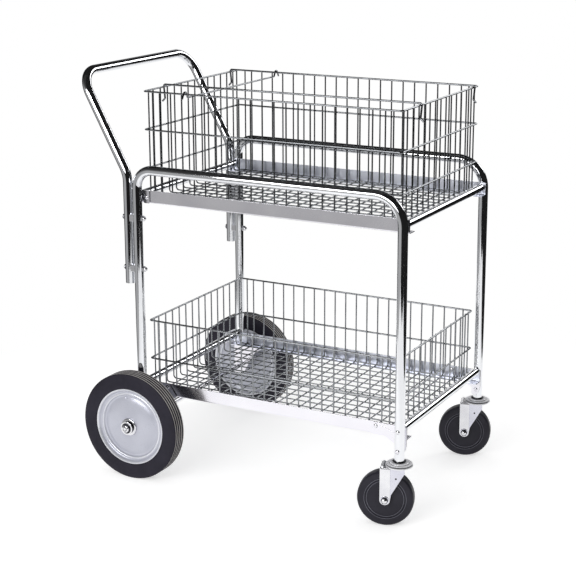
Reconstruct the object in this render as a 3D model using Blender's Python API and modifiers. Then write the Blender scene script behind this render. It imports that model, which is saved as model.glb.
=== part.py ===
"""Wire mail cart with two baskets, a push handle, two large rear wheels and two swivel casters.

Metres, +Z up. The handle and the large wheels are at -X, the casters at +X, and the near side is at -Y.
The origin is on the floor, under the middle of the cart's length and width.
"""

import math

import bmesh
import bpy
from mathutils import Matrix, Vector

OBJECT_NAME = "mail_cart"
SIDES = {"near": -1, "far": 1}

# Fits
GAP = 0.0003
RUNNING_GAP = 0.0004
WELD_DEPTH = 0.0010
CUT_OVERRUN = 0.002

# Side frames: one bent tube on each side
WHEELBASE = 0.660
FRAME_SPACING = 0.457
TUBE_RADIUS = 0.0111
RAIL_HEIGHT = 0.7265
REAR_BEND_RADIUS = 0.042
FRONT_BEND_RADIUS = 0.064
REAR_LEG_BELOW_AXLE = 0.019
TUBE_BORE_RADIUS = 0.0094
TUBE_BORE_DEPTH = 0.030

# Push handle
HANDLE_SETBACK = 0.0250
HANDLE_END_HEIGHT = 0.458
HANDLE_BEND_HEIGHT = 0.712
HANDLE_BEND_RADIUS = 0.070
HANDLE_LEAN = math.radians(28.5)
HANDLE_TOP_HEIGHT = 0.938
HANDLE_CORNER_RADIUS = 0.055
HANDLE_BOLT_SHARES = (0.16115, 0.68653)
HANDLE_BOLT_RADIUS = 0.0032
BOLT_HEAD_RADIUS = 0.0065
BOLT_HEAD_THICKNESS = 0.0038
BOLT_TIP_LENGTH = 0.0070
CAP_NUT_RADIUS = 0.0066
CAP_NUT_LENGTH = 0.0105
SPACER_HALF_WIDTH = 0.0085
SPACER_HEIGHT = 0.016

# Shelf angles and cross tubes
ANGLE_HEIGHT = 0.030
ANGLE_LEDGE = 0.025
ANGLE_THICKNESS = 0.002
ANGLE_PAST_LEG = 0.0105
UPPER_SHELF_DROP = 0.079
LOWER_SHELF_HEIGHT = 0.191
CROSS_TUBE_RADIUS = 0.0095
CROSS_TUBE_BORE_RADIUS = 0.0078
CROSS_TUBE_RISE = {"upper": 0.0185, "lower": 0.0255}

# Plates and rivets
PLATE_THICKNESS = 0.002
RIVET_RADIUS = 0.0026
RIVET_HEAD_RADIUS = 0.0050
RIVET_HEAD_THICKNESS = 0.0024
GUSSET_REACH = 0.073
GUSSET_SLANT_REACH = 0.0405
GUSSET_END_RISE = 0.010
GUSSET_SLANT_RISE = 0.0265
GUSSET_RIVET_INSET = 0.011
AXLE_PLATE_RIVET_INSET = 0.005
ANGLE_RIVET_DROP = 0.0085
LEG_RIVET_DROPS = (0.0060, 0.0503)
AXLE_PLATE_TOP_REACH = 0.067
AXLE_PLATE_REACH = 0.0875
AXLE_PLATE_KNEE_REACH = 0.050
AXLE_PLATE_KNEE_DROP = 0.021
AXLE_PLATE_FOOT_REACH = 0.015
CORNER_PLATE_WIDTH = 0.0155
CORNER_PLATE_RIVET_RISE = 0.014

# Rear wheels and axle
REAR_WHEEL_RADIUS = 0.127
TYRE_HALF_WIDTH = 0.0205
TYRE_SEAT_RADIUS = 0.080
WHEEL_TO_LEG_GAP = 0.0089
RIM_LIP_RADIUS = 0.0905
RIM_LIP_OUT = 0.0192
RIM_SHEET = 0.0016
HUB_RADIUS = 0.0130
HUB_END_OUT = 0.0290
AXLE_RADIUS = 0.00635
AXLE_PAST_HUB = 0.006
AXLE_WASHER_RADIUS = 0.0145
AXLE_WASHER_THICKNESS = 0.0018
AXLE_CAP_RADIUS = 0.0092
AXLE_CAP_WALL = 0.0012

# Casters
CASTER_TURN = math.radians(17.0)
CASTER_TRAIL = 0.028
CASTER_WHEEL_RADIUS = 0.0625
CASTER_WHEEL_HALF_WIDTH = 0.015
CASTER_TOP_CLEARANCE = 0.00836
CASTER_HUB_HALF_WIDTH = 0.0168
CASTER_HUB_RADIUS = 0.014
CASTER_GROOVE_RADIUS = 0.042
CASTER_GROOVE_WIDTH = 0.004
CASTER_GROOVE_DEPTH = 0.0015
CASTER_TREAD_ROUNDING = 0.004
CASTER_AXLE_RADIUS = 0.004
CASTER_AXLE_HEAD_RADIUS = 0.0068
CASTER_AXLE_HEAD_THICKNESS = 0.0050
RACEWAY_RADIUS = 0.030
RACEWAY_THICKNESS = 0.0052
RACEWAY_OVER_PLATE_SHARE = 0.7
RACEWAY_NECK_RADIUS = 0.0150
RACEWAY_NECK_HEIGHT = 0.0022
STEM_RADIUS = 0.0085
STEM_LENGTH = 0.018
FORK_SHEET = 0.003
FORK_RIB_THICKNESS = 0.002
FORK_FOOT_RADIUS = 0.0115
FORK_FRONT_REACH = 0.014
FORK_SHOULDER_DROP = 0.012

# Wire baskets
BASKET_END_CLEARANCE = 0.013
BASKET_SIDE_CLEARANCE = 0.0002
RING_WIRE_RADIUS = 0.0021
WIRE_RADIUS = 0.0017
WIRE_CORNER = 0.007
RING_CORNER = 0.006
LONG_END_GAP = 0.021058
LONG_COUNT = 20
WIDE_END_GAP = 0.014104
WIDE_COUNT = 13
END_WIRE_PITCH_SHARE = 0.635
UPPER_BASKET_HEIGHT = 0.2545
UPPER_RING_DROPS = (0.0865, 0.176)
LOWER_BASKET_HEIGHT = 0.176
LOWER_RING_DROPS = (0.092,)

# Hanging rails and cross wire on the upper basket
RAIL_WIRE_RADIUS = 0.0022
NEAR_RAIL_INSET = 0.0895
FAR_RAIL_INSET = 0.0315
RAIL_DROP = 0.032
RAIL_TIP = 0.009
CROSS_WIRE_RADIUS = 0.0020
CROSS_WIRE_INSET = 0.108
CROSS_WIRE_SAG = 0.0085
HOOK_OUTER_REACH = 0.015
HOOK_OUTER_DROP = 0.013
HOOK_FLAT = 0.0055
HOOK_INNER_REACH = 0.0125

# Facets
TUBE_BEVEL_RESOLUTION = 3
WIRE_BEVEL_RESOLUTION = 1
BEND_STEPS = 4
WIRE_BEND_STEPS = 1
SMALL_SIDES = 8
HOLE_SIDES = 8
HUB_SIDES = 14
RIM_SIDES = 20
TYRE_SIDES = 28
CASTER_SIDES = 20
NUT_SIDES = 6
FOOT_STEPS = 5
SHARP_ANGLE = math.radians(50)

# Worked out from the sizes above
TUBE_SIDES = 4 + 2 * TUBE_BEVEL_RESOLUTION
AXLE_HEIGHT = REAR_WHEEL_RADIUS
FORK_PLATE_TOP = 2 * CASTER_WHEEL_RADIUS + CASTER_TOP_CLEARANCE + FORK_SHEET
FORK_RACEWAY_TOP = FORK_PLATE_TOP + RACEWAY_THICKNESS * RACEWAY_OVER_PLATE_SHARE
CASTER_FACE_HEIGHT = FORK_RACEWAY_TOP + GAP + RACEWAY_THICKNESS + RACEWAY_NECK_HEIGHT
FRONT_LEG_END_HEIGHT = CASTER_FACE_HEIGHT + GAP
HANDLE_STRAIGHT_TOP = HANDLE_BEND_HEIGHT - HANDLE_BEND_RADIUS * math.tan(HANDLE_LEAN / 2)
HANDLE_LAP = min(RAIL_HEIGHT - REAR_BEND_RADIUS, HANDLE_STRAIGHT_TOP) - HANDLE_END_HEIGHT
HANDLE_BOLT_HEIGHTS = tuple(HANDLE_END_HEIGHT + share * HANDLE_LAP for share in HANDLE_BOLT_SHARES)
HANDLE_RISE = HANDLE_TOP_HEIGHT - HANDLE_BEND_HEIGHT
HANDLE_OVERHANG = HANDLE_SETBACK + HANDLE_RISE * math.tan(HANDLE_LEAN) + TUBE_RADIUS
REAR_LEG_X = (HANDLE_OVERHANG - WHEELBASE - RACEWAY_RADIUS) / 2
FRONT_LEG_X = REAR_LEG_X + WHEELBASE
MIDDLE_X = (REAR_LEG_X + FRONT_LEG_X) / 2
HANDLE_X = REAR_LEG_X - HANDLE_SETBACK
FRAME_Y = FRAME_SPACING / 2
LEG_INNER_Y = FRAME_Y - TUBE_RADIUS
REAR_WHEEL_OFFSET = FRAME_Y + TUBE_RADIUS + WHEEL_TO_LEG_GAP + TYRE_HALF_WIDTH
PLATE_OUTER_Y = LEG_INNER_Y - GAP
LOWER_ANGLE_Y = PLATE_OUTER_Y - PLATE_THICKNESS - GAP
UPPER_ANGLE_Y = LEG_INNER_Y - GAP
LOWER_ANGLE_TOP = LOWER_SHELF_HEIGHT + ANGLE_HEIGHT
RIVET_HOLE_RADIUS = RIVET_RADIUS + GAP
UPPER_SHELF_HEIGHT = RAIL_HEIGHT - UPPER_SHELF_DROP
UPPER_RIM_HEIGHT = UPPER_SHELF_HEIGHT + UPPER_BASKET_HEIGHT
LOWER_RIM_HEIGHT = LOWER_SHELF_HEIGHT + LOWER_BASKET_HEIGHT
BASKET_LENGTH = WHEELBASE - 2 * BASKET_END_CLEARANCE
BASKET_WIDTH = 2 * (LOWER_ANGLE_Y - ANGLE_THICKNESS - BASKET_SIDE_CLEARANCE - RING_WIRE_RADIUS)
LONG_PITCH = (BASKET_LENGTH - 2 * LONG_END_GAP) / (LONG_COUNT - 1 + 2 * END_WIRE_PITCH_SHARE)
WIDE_PITCH = (BASKET_WIDTH - 2 * WIDE_END_GAP) / (WIDE_COUNT - 1 + 2 * END_WIRE_PITCH_SHARE)


def clear_scene():
    """Remove every object that a new file holds."""
    for item in list(bpy.data.objects):
        bpy.data.objects.remove(item, do_unlink=True)


def make_collection(name):
    collection = bpy.data.collections.new(name)
    bpy.context.scene.collection.children.link(collection)
    return collection


def make_material(name, colour, roughness, metallic):
    material = bpy.data.materials.new(name)
    material.use_nodes = True
    shader = material.node_tree.nodes["Principled BSDF"]
    shader.inputs["Base Color"].default_value = (*colour, 1.0)
    shader.inputs["Roughness"].default_value = roughness
    shader.inputs["Metallic"].default_value = metallic
    return material


FINISHES = {
    "chrome_tube": ((0.80, 0.81, 0.83), 0.10, 1.0),
    "zinc_sheet": ((0.66, 0.66, 0.70), 0.28, 1.0),
    "zinc_wire": ((0.70, 0.71, 0.73), 0.22, 1.0),
    "bright_fastener": ((0.74, 0.74, 0.76), 0.18, 1.0),
    "tyre_rubber": ((0.030, 0.030, 0.034), 0.55, 0.0),
    "silver_paint": ((0.58, 0.60, 0.66), 0.34, 0.5),
    "caster_rubber": ((0.045, 0.045, 0.055), 0.42, 0.0),
}


def turn_to(direction):
    """The rotation that takes the local Z axis to a world direction along X, Y or Z."""
    return Vector((0, 0, 1)).rotation_difference(Vector(direction)).to_matrix().to_4x4()


def placed(x, y, z, direction=(0, 0, 1)):
    return Matrix.Translation((x, y, z)) @ turn_to(direction)


def add_part(item, finish, parent=None):
    """Put a finished piece into the object's collection with a material of its own."""
    PARTS.objects.link(item)
    item.data.materials.clear()
    item.data.materials.append(make_material(f"{item.name}_{finish}", *FINISHES[finish]))
    if parent is not None:
        item.parent = parent
    return item


def as_tool(item, parent=None):
    """Put a cutter, or a shape to be joined, where it doesn't count as a piece."""
    TOOLS.objects.link(item)
    item.hide_render = True
    item.display_type = "WIRE"
    if parent is not None:
        item.parent = parent
    return item


def boolean(item, other, operation):
    modifier = item.modifiers.new(f"{operation.lower()}_{other.name}", "BOOLEAN")
    modifier.operation = operation
    modifier.solver = "EXACT"
    modifier.object = other


def join_all(item, collection):
    modifier = item.modifiers.new("welded_wires", "BOOLEAN")
    modifier.operation = "UNION"
    modifier.solver = "EXACT"
    modifier.operand_type = "COLLECTION"
    modifier.collection = collection


def rounded(corners, radius, steps):
    """The points of a line through corners, with each inner corner turned into an arc."""
    corners = [Vector(corner) for corner in corners]
    radii = radius if isinstance(radius, tuple) else (radius,) * (len(corners) - 2)
    path = [corners[0]]
    for before, corner, after, bend in zip(corners, corners[1:], corners[2:], radii):
        back = (before - corner).normalized()
        ahead = (after - corner).normalized()
        half_angle = back.angle(ahead) / 2
        reach = bend / math.tan(half_angle)
        centre = corner + (back + ahead).normalized() * bend / math.sin(half_angle)
        first = corner + back * reach - centre
        last = corner + ahead * reach - centre
        sweep = first.angle(last)
        for step in range(steps + 1):
            share = step / steps
            turned_point = first * math.sin((1 - share) * sweep) + last * math.sin(share * sweep)
            path.append(centre + turned_point / math.sin(sweep))
    path.append(corners[-1])
    return path


def mesh_from_curve(curve, name):
    """A closed mesh object from a curve, with its caps welded on."""
    holder = bpy.data.objects.new(name, curve)
    bpy.context.scene.collection.objects.link(holder)
    depsgraph = bpy.context.evaluated_depsgraph_get()
    mesh = bpy.data.meshes.new_from_object(holder.evaluated_get(depsgraph))
    mesh.name = name
    shape = bmesh.new()
    shape.from_mesh(mesh)
    bmesh.ops.remove_doubles(shape, verts=shape.verts, dist=CUT_OVERRUN / 1000)
    shape.to_mesh(mesh)
    shape.free()
    bpy.data.objects.remove(holder, do_unlink=True)
    bpy.data.curves.remove(curve)
    return bpy.data.objects.new(name, mesh)


def tube(name, points, radius, resolution, closed=False):
    """A round bar along a line of points."""
    curve = bpy.data.curves.new(name, "CURVE")
    curve.dimensions = "3D"
    curve.bevel_depth = radius
    curve.bevel_resolution = resolution
    curve.use_fill_caps = not closed
    spline = curve.splines.new("POLY")
    spline.points.add(len(points) - 1)
    for point, place in zip(spline.points, points):
        point.co = (*place, 1.0)
    spline.use_cyclic_u = closed
    item = mesh_from_curve(curve, name)
    item.data.shade_smooth()
    item.data.set_sharp_from_angle(angle=SHARP_ANGLE)
    return item


def plate(name, outline, thickness, matrix):
    """A flat outline with a thickness, centred on its own plane."""
    curve = bpy.data.curves.new(name, "CURVE")
    curve.dimensions = "2D"
    curve.fill_mode = "BOTH"
    curve.extrude = thickness / 2
    spline = curve.splines.new("POLY")
    spline.points.add(len(outline) - 1)
    for point, place in zip(spline.points, outline):
        point.co = (*place, 0.0, 1.0)
    spline.use_cyclic_u = True
    item = mesh_from_curve(curve, name)
    item.matrix_world = matrix
    return item


def turned(name, profile, sides, matrix, ring=False):
    """A turned piece: (radius, height) points down the outer side, spun round the local Z axis."""
    count = len(profile)
    edges = [(index, index + 1) for index in range(count - 1)]
    if ring:
        edges.append((count - 1, 0))
    mesh = bpy.data.meshes.new(name)
    mesh.from_pydata([(radius, 0.0, height) for radius, height in profile], edges, [])
    item = bpy.data.objects.new(name, mesh)
    item.matrix_world = matrix
    screw = item.modifiers.new("turned", "SCREW")
    screw.axis = "Z"
    screw.angle = 2 * math.pi
    screw.steps = sides
    screw.render_steps = sides
    screw.use_merge_vertices = True
    screw.merge_threshold = CUT_OVERRUN / 1000
    screw.use_smooth_shade = True
    return item


def cylinder(name, radius, length, sides, matrix):
    mesh = bpy.data.meshes.new(name)
    shape = bmesh.new()
    bmesh.ops.create_cone(
        shape, cap_ends=True, segments=sides, radius1=radius, radius2=radius, depth=length
    )
    shape.to_mesh(mesh)
    shape.free()
    item = bpy.data.objects.new(name, mesh)
    item.matrix_world = matrix
    return item


def block(name, size, matrix):
    mesh = bpy.data.meshes.new(name)
    shape = bmesh.new()
    bmesh.ops.create_cube(shape, size=1.0, matrix=Matrix.Diagonal((*size, 1.0)))
    shape.to_mesh(mesh)
    shape.free()
    item = bpy.data.objects.new(name, mesh)
    item.matrix_world = matrix
    return item


def drill(item, radius, length, matrix, parent=None):
    """Cut a hole of a given length, centred on the matrix, whose flats keep the given radius."""
    corner_radius = radius / math.cos(math.pi / HOLE_SIDES)
    cutter = cylinder(f"hole_in_{item.name}", corner_radius, length, HOLE_SIDES, matrix)
    boolean(item, as_tool(cutter, parent), "DIFFERENCE")


def make_side_frame(side, sign):
    """The bent tube of one side: front leg, top rail and rear leg."""
    y = sign * FRAME_Y
    rear_end = AXLE_HEIGHT - REAR_LEG_BELOW_AXLE
    corners = [
        (FRONT_LEG_X, y, FRONT_LEG_END_HEIGHT),
        (FRONT_LEG_X, y, RAIL_HEIGHT),
        (REAR_LEG_X, y, RAIL_HEIGHT),
        (REAR_LEG_X, y, rear_end),
    ]
    path = rounded(corners, (FRONT_BEND_RADIUS, REAR_BEND_RADIUS), BEND_STEPS)
    frame = add_part(tube(f"side_frame_{side}", path, TUBE_RADIUS, TUBE_BEVEL_RESOLUTION), "chrome_tube")
    bore_length = 2 * TUBE_BORE_DEPTH
    drill(frame, TUBE_BORE_RADIUS, bore_length, placed(FRONT_LEG_X, y, FRONT_LEG_END_HEIGHT))
    across = 2 * (TUBE_RADIUS + CUT_OVERRUN)
    drill(frame, AXLE_RADIUS + GAP, across, placed(REAR_LEG_X, y, AXLE_HEIGHT, (0, 1, 0)))
    for height in HANDLE_BOLT_HEIGHTS:
        drill(frame, HANDLE_BOLT_RADIUS + GAP, across, placed(REAR_LEG_X, y, height, (1, 0, 0)))
    for drop in LEG_RIVET_DROPS:
        height = LOWER_ANGLE_TOP - drop
        drill(frame, RIVET_HOLE_RADIUS, across, placed(FRONT_LEG_X, y, height, (0, 1, 0)))


def make_handle():
    """The push handle: two straight stubs, two leaning arms and a crossbar."""
    top_x = HANDLE_X - HANDLE_RISE * math.tan(HANDLE_LEAN)
    corners = [
        (HANDLE_X, -FRAME_Y, HANDLE_END_HEIGHT),
        (HANDLE_X, -FRAME_Y, HANDLE_BEND_HEIGHT),
        (top_x, -FRAME_Y, HANDLE_TOP_HEIGHT),
        (top_x, FRAME_Y, HANDLE_TOP_HEIGHT),
        (HANDLE_X, FRAME_Y, HANDLE_BEND_HEIGHT),
        (HANDLE_X, FRAME_Y, HANDLE_END_HEIGHT),
    ]
    radii = (HANDLE_BEND_RADIUS, HANDLE_CORNER_RADIUS, HANDLE_CORNER_RADIUS, HANDLE_BEND_RADIUS)
    path = rounded(corners, radii, BEND_STEPS)
    handle = add_part(tube("push_handle", path, TUBE_RADIUS, TUBE_BEVEL_RESOLUTION), "chrome_tube")
    across = 2 * (TUBE_RADIUS + CUT_OVERRUN)
    for sign in SIDES.values():
        y = sign * FRAME_Y
        drill(handle, TUBE_BORE_RADIUS, TUBE_BORE_DEPTH, placed(HANDLE_X, y, HANDLE_END_HEIGHT))
        for height in HANDLE_BOLT_HEIGHTS:
            drill(handle, HANDLE_BOLT_RADIUS + GAP, across, placed(HANDLE_X, y, height, (1, 0, 0)))


def make_handle_bolt(name, y, height):
    """A through bolt along X with a round head behind the handle and its tip in the cap nut."""
    head_face = HANDLE_X - TUBE_RADIUS - GAP
    tip = REAR_LEG_X + TUBE_RADIUS + BOLT_TIP_LENGTH
    grip = tip - head_face
    profile = [
        (0, grip),
        (HANDLE_BOLT_RADIUS, grip),
        (HANDLE_BOLT_RADIUS, 0),
        (BOLT_HEAD_RADIUS, 0),
        (BOLT_HEAD_RADIUS * 0.8, -BOLT_HEAD_THICKNESS * 0.7),
        (0, -BOLT_HEAD_THICKNESS),
    ]
    matrix = placed(head_face, y, height, (1, 0, 0))
    add_part(turned(name, profile, SMALL_SIDES, matrix), "bright_fastener")


def make_cap_nut(name, y, height):
    """A domed hexagon nut on the bolt's tip, against the leg."""
    bore = (HANDLE_BOLT_RADIUS + GAP) / math.cos(math.pi / NUT_SIDES)
    bore_depth = BOLT_TIP_LENGTH
    profile = [
        (0, CAP_NUT_LENGTH),
        (CAP_NUT_RADIUS * 0.62, CAP_NUT_LENGTH * 0.90),
        (CAP_NUT_RADIUS, CAP_NUT_LENGTH * 0.55),
        (CAP_NUT_RADIUS, 0),
        (bore, 0),
        (bore, bore_depth),
        (0, bore_depth),
    ]
    matrix = placed(REAR_LEG_X + TUBE_RADIUS + GAP, y, height, (1, 0, 0))
    add_part(turned(name, profile, NUT_SIDES, matrix), "bright_fastener")


def make_handle_spacer(name, y, height):
    """A saddle block between the leg and the handle, hollowed to fit both tubes."""
    middle_x = (HANDLE_X + REAR_LEG_X) / 2
    length = HANDLE_SETBACK - TUBE_RADIUS
    spacer = block(name, (length, 2 * SPACER_HALF_WIDTH, SPACER_HEIGHT), placed(middle_x, y, height))
    add_part(spacer, "bright_fastener")
    cut_height = SPACER_HEIGHT + 2 * CUT_OVERRUN
    for x in (HANDLE_X, REAR_LEG_X):
        saddle = cylinder(f"saddle_{name}", TUBE_RADIUS + GAP, cut_height, TUBE_SIDES * 2, placed(x, y, height))
        boolean(spacer, as_tool(saddle), "DIFFERENCE")
    drill(spacer, HANDLE_BOLT_RADIUS + GAP, 2 * HANDLE_SETBACK, placed(middle_x, y, height, (1, 0, 0)))


def make_handle_fixings():
    for side, sign in SIDES.items():
        for place, height in zip(("lower", "upper"), HANDLE_BOLT_HEIGHTS):
            make_handle_bolt(f"handle_bolt_{place}_{side}", sign * FRAME_Y, height)
            make_cap_nut(f"cap_nut_{place}_{side}", sign * FRAME_Y, height)
            make_handle_spacer(f"handle_spacer_{place}_{side}", sign * FRAME_Y, height)


def make_shelf_angle(name, sign, outer_y, base):
    """A pressed angle along one side of a shelf: a vertical leaf and a ledge turned inward."""
    back = outer_y - ANGLE_THICKNESS
    edge = outer_y - ANGLE_LEDGE
    outline = [
        (outer_y, base),
        (outer_y, base + ANGLE_HEIGHT),
        (back, base + ANGLE_HEIGHT),
        (back, base + ANGLE_THICKNESS),
        (edge, base + ANGLE_THICKNESS),
        (edge, base),
    ]
    outline = [(sign * y, z) for y, z in outline]
    along_x = Matrix(((0, 0, 1, MIDDLE_X), (1, 0, 0, 0), (0, 1, 0, 0), (0, 0, 0, 1)))
    return add_part(plate(name, outline, WHEELBASE + 2 * ANGLE_PAST_LEG, along_x), "zinc_sheet")


def make_shelf(shelf, base, outer_y):
    """Two angles and the front and rear cross tubes that lie in them."""
    tube_height = base + CROSS_TUBE_RISE[shelf]
    half = outer_y - ANGLE_THICKNESS - GAP
    for end, x in {"front": FRONT_LEG_X, "rear": REAR_LEG_X}.items():
        matrix = placed(x, 0, tube_height, (0, 1, 0))
        bar = cylinder(f"cross_tube_{shelf}_{end}", CROSS_TUBE_RADIUS, 2 * half, TUBE_SIDES, matrix)
        add_part(bar, "chrome_tube")
        drill(bar, CROSS_TUBE_BORE_RADIUS, 2 * (half + CUT_OVERRUN), matrix)
    for side, sign in SIDES.items():
        angle = make_shelf_angle(f"shelf_angle_{shelf}_{side}", sign, outer_y, base)
        if shelf == "lower":
            drill_angle_rivets(angle, sign)


def angle_rivet_places():
    """Where a rivet goes through a plate and the lower angle, away from the legs."""
    height = LOWER_ANGLE_TOP - ANGLE_RIVET_DROP
    front_x = FRONT_LEG_X - GUSSET_REACH + GUSSET_RIVET_INSET
    rear_x = REAR_LEG_X + AXLE_PLATE_TOP_REACH - AXLE_PLATE_RIVET_INSET
    return {"front": (front_x, height), "rear": (rear_x, height)}


def drill_angle_rivets(angle, sign):
    """The lower angle's holes: the two plates' rivets, and the front leg's upper rivet."""
    across = 2 * (ANGLE_THICKNESS + PLATE_THICKNESS + CUT_OVERRUN)
    places = list(angle_rivet_places().values())
    places.append((FRONT_LEG_X, LOWER_ANGLE_TOP - LEG_RIVET_DROPS[0]))
    for x, height in places:
        drill(angle, RIVET_HOLE_RADIUS, across, placed(x, sign * LOWER_ANGLE_Y, height, (0, 1, 0)))


def upright_plate(name, outline, sign, outer_y):
    """A plate in the X-Z plane with its outer face at a given distance from the middle."""
    matrix = Matrix.Translation((0, sign * (outer_y - PLATE_THICKNESS / 2), 0))
    matrix = matrix @ Matrix.Rotation(math.pi / 2, 4, "X")
    return add_part(plate(name, outline, PLATE_THICKNESS, matrix), "zinc_sheet")


def make_front_gusset(side, sign):
    """The plate that ties the front leg to the lower angle."""
    top, base = LOWER_ANGLE_TOP, LOWER_SHELF_HEIGHT
    outline = [
        (FRONT_LEG_X - GUSSET_REACH, top),
        (FRONT_LEG_X - GUSSET_REACH, base),
        (FRONT_LEG_X - GUSSET_SLANT_REACH, base),
        (FRONT_LEG_X - TUBE_RADIUS, FRONT_LEG_END_HEIGHT + GUSSET_SLANT_RISE),
        (FRONT_LEG_X - TUBE_RADIUS, FRONT_LEG_END_HEIGHT + GUSSET_END_RISE),
        (FRONT_LEG_X + TUBE_RADIUS, FRONT_LEG_END_HEIGHT + GUSSET_END_RISE),
        (FRONT_LEG_X + TUBE_RADIUS, top),
    ]
    gusset = upright_plate(f"front_gusset_{side}", outline, sign, PLATE_OUTER_Y)
    across = 2 * (PLATE_THICKNESS + CUT_OVERRUN)
    for x, height in (angle_rivet_places()["front"], (FRONT_LEG_X, top - LEG_RIVET_DROPS[0])):
        drill(gusset, RIVET_HOLE_RADIUS, across, placed(x, sign * PLATE_OUTER_Y, height, (0, 1, 0)))
    lower_head = PLATE_OUTER_Y - PLATE_THICKNESS / 2
    name = f"leg_rivet_lower_{side}"
    leg_outer = FRAME_Y + TUBE_RADIUS
    rivet = rivet_shape(name, FRONT_LEG_X, top - LEG_RIVET_DROPS[1], sign, lower_head, leg_outer)
    boolean(gusset, as_tool(rivet), "UNION")


def make_axle_plate(side, sign):
    """The plate that ties the rear leg to the lower angle, with a hole for the axle."""
    top = LOWER_ANGLE_TOP
    foot = AXLE_HEIGHT - REAR_LEG_BELOW_AXLE
    outline = [
        (REAR_LEG_X - TUBE_RADIUS, top),
        (REAR_LEG_X - TUBE_RADIUS, foot),
        (REAR_LEG_X + AXLE_PLATE_FOOT_REACH, foot),
        (REAR_LEG_X + AXLE_PLATE_KNEE_REACH, LOWER_SHELF_HEIGHT - AXLE_PLATE_KNEE_DROP),
        (REAR_LEG_X + AXLE_PLATE_REACH, LOWER_SHELF_HEIGHT),
        (REAR_LEG_X + AXLE_PLATE_TOP_REACH, top),
    ]
    axle_plate = upright_plate(f"axle_plate_{side}", outline, sign, PLATE_OUTER_Y)
    across = 2 * (PLATE_THICKNESS + CUT_OVERRUN)
    x, height = angle_rivet_places()["rear"]
    y = sign * PLATE_OUTER_Y
    drill(axle_plate, RIVET_HOLE_RADIUS, across, placed(x, y, height, (0, 1, 0)))
    drill(axle_plate, AXLE_RADIUS + GAP, across, placed(REAR_LEG_X, y, AXLE_HEIGHT, (0, 1, 0)))


def make_corner_plate(side, sign):
    """The small plate outside the upper angle, beside the rear leg, with the head of its rivet."""
    inner_x = REAR_LEG_X + TUBE_RADIUS + GAP
    base, top = UPPER_SHELF_HEIGHT, UPPER_SHELF_HEIGHT + ANGLE_HEIGHT
    outer_y = UPPER_ANGLE_Y + GAP + PLATE_THICKNESS
    outline = [
        (inner_x, base),
        (inner_x + CORNER_PLATE_WIDTH, base),
        (inner_x + CORNER_PLATE_WIDTH, top),
        (inner_x, top),
    ]
    corner = upright_plate(f"corner_plate_{side}", outline, sign, outer_y)
    middle_x = inner_x + CORNER_PLATE_WIDTH / 2
    sunk = PLATE_THICKNESS / 2
    profile = rivet_head(sunk)
    matrix = placed(middle_x, sign * (outer_y - sunk), base + CORNER_PLATE_RIVET_RISE, (0, sign, 0))
    head = turned(f"corner_rivet_{side}", profile, SMALL_SIDES, matrix)
    boolean(corner, as_tool(head), "UNION")


def rivet_head(base):
    """The points of a rivet's domed head, from its crown down to the face that it closes."""
    return [
        (0, base + RIVET_HEAD_THICKNESS),
        (RIVET_HEAD_RADIUS * 0.65, base + RIVET_HEAD_THICKNESS * 0.75),
        (RIVET_HEAD_RADIUS, base),
        (RIVET_HEAD_RADIUS, 0),
        (0, 0),
    ]


def rivet_shape(name, x, height, sign, inner_y, outer_y):
    """A rivet through the faces at two distances from the middle, with a head on each side."""
    grip = outer_y - inner_y + 2 * GAP
    crown = RIVET_HEAD_THICKNESS
    profile = [
        (0, grip + crown),
        (RIVET_HEAD_RADIUS * 0.65, grip + crown * 0.75),
        (RIVET_HEAD_RADIUS, grip),
        (RIVET_RADIUS, grip),
        (RIVET_RADIUS, 0),
        (RIVET_HEAD_RADIUS, 0),
        (RIVET_HEAD_RADIUS * 0.65, -crown * 0.75),
        (0, -crown),
    ]
    matrix = placed(x, sign * (inner_y - GAP), height, (0, sign, 0))
    return turned(name, profile, SMALL_SIDES, matrix)


def make_rivets(side, sign):
    """The loose rivets of one side: two through plate and angle, one through the front leg too."""
    inner = LOWER_ANGLE_Y - ANGLE_THICKNESS
    for end, (x, height) in angle_rivet_places().items():
        rivet = rivet_shape(f"angle_rivet_{end}_{side}", x, height, sign, inner, PLATE_OUTER_Y)
        add_part(rivet, "bright_fastener")
    height = LOWER_ANGLE_TOP - LEG_RIVET_DROPS[0]
    outer = FRAME_Y + TUBE_RADIUS
    rivet = rivet_shape(f"leg_rivet_upper_{side}", FRONT_LEG_X, height, sign, inner, outer)
    add_part(rivet, "bright_fastener")


def make_axle():
    """The rear axle through both rear legs."""
    half = REAR_WHEEL_OFFSET + HUB_END_OUT + AXLE_PAST_HUB
    matrix = placed(REAR_LEG_X, 0, AXLE_HEIGHT, (0, 1, 0))
    add_part(cylinder("rear_axle", AXLE_RADIUS, 2 * half, HUB_SIDES, matrix), "bright_fastener")


def make_axle_cap(side, sign):
    """The washer and push-on cap that close an end of the axle."""
    bore = (AXLE_RADIUS + GAP) / math.cos(math.pi / HUB_SIDES)
    washer = AXLE_WASHER_THICKNESS
    inside = AXLE_PAST_HUB
    top = inside + AXLE_CAP_WALL
    profile = [
        (0, top + AXLE_CAP_WALL),
        (AXLE_CAP_RADIUS * 0.6, top + AXLE_CAP_WALL * 0.6),
        (AXLE_CAP_RADIUS, top - AXLE_CAP_WALL),
        (AXLE_CAP_RADIUS, washer),
        (AXLE_WASHER_RADIUS, washer),
        (AXLE_WASHER_RADIUS, 0),
        (bore, 0),
        (bore, inside),
        (0, inside),
    ]
    y = sign * (REAR_WHEEL_OFFSET + HUB_END_OUT + GAP)
    matrix = placed(REAR_LEG_X, y, AXLE_HEIGHT, (0, sign, 0))
    add_part(turned(f"axle_cap_{side}", profile, HUB_SIDES, matrix), "bright_fastener")


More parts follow.
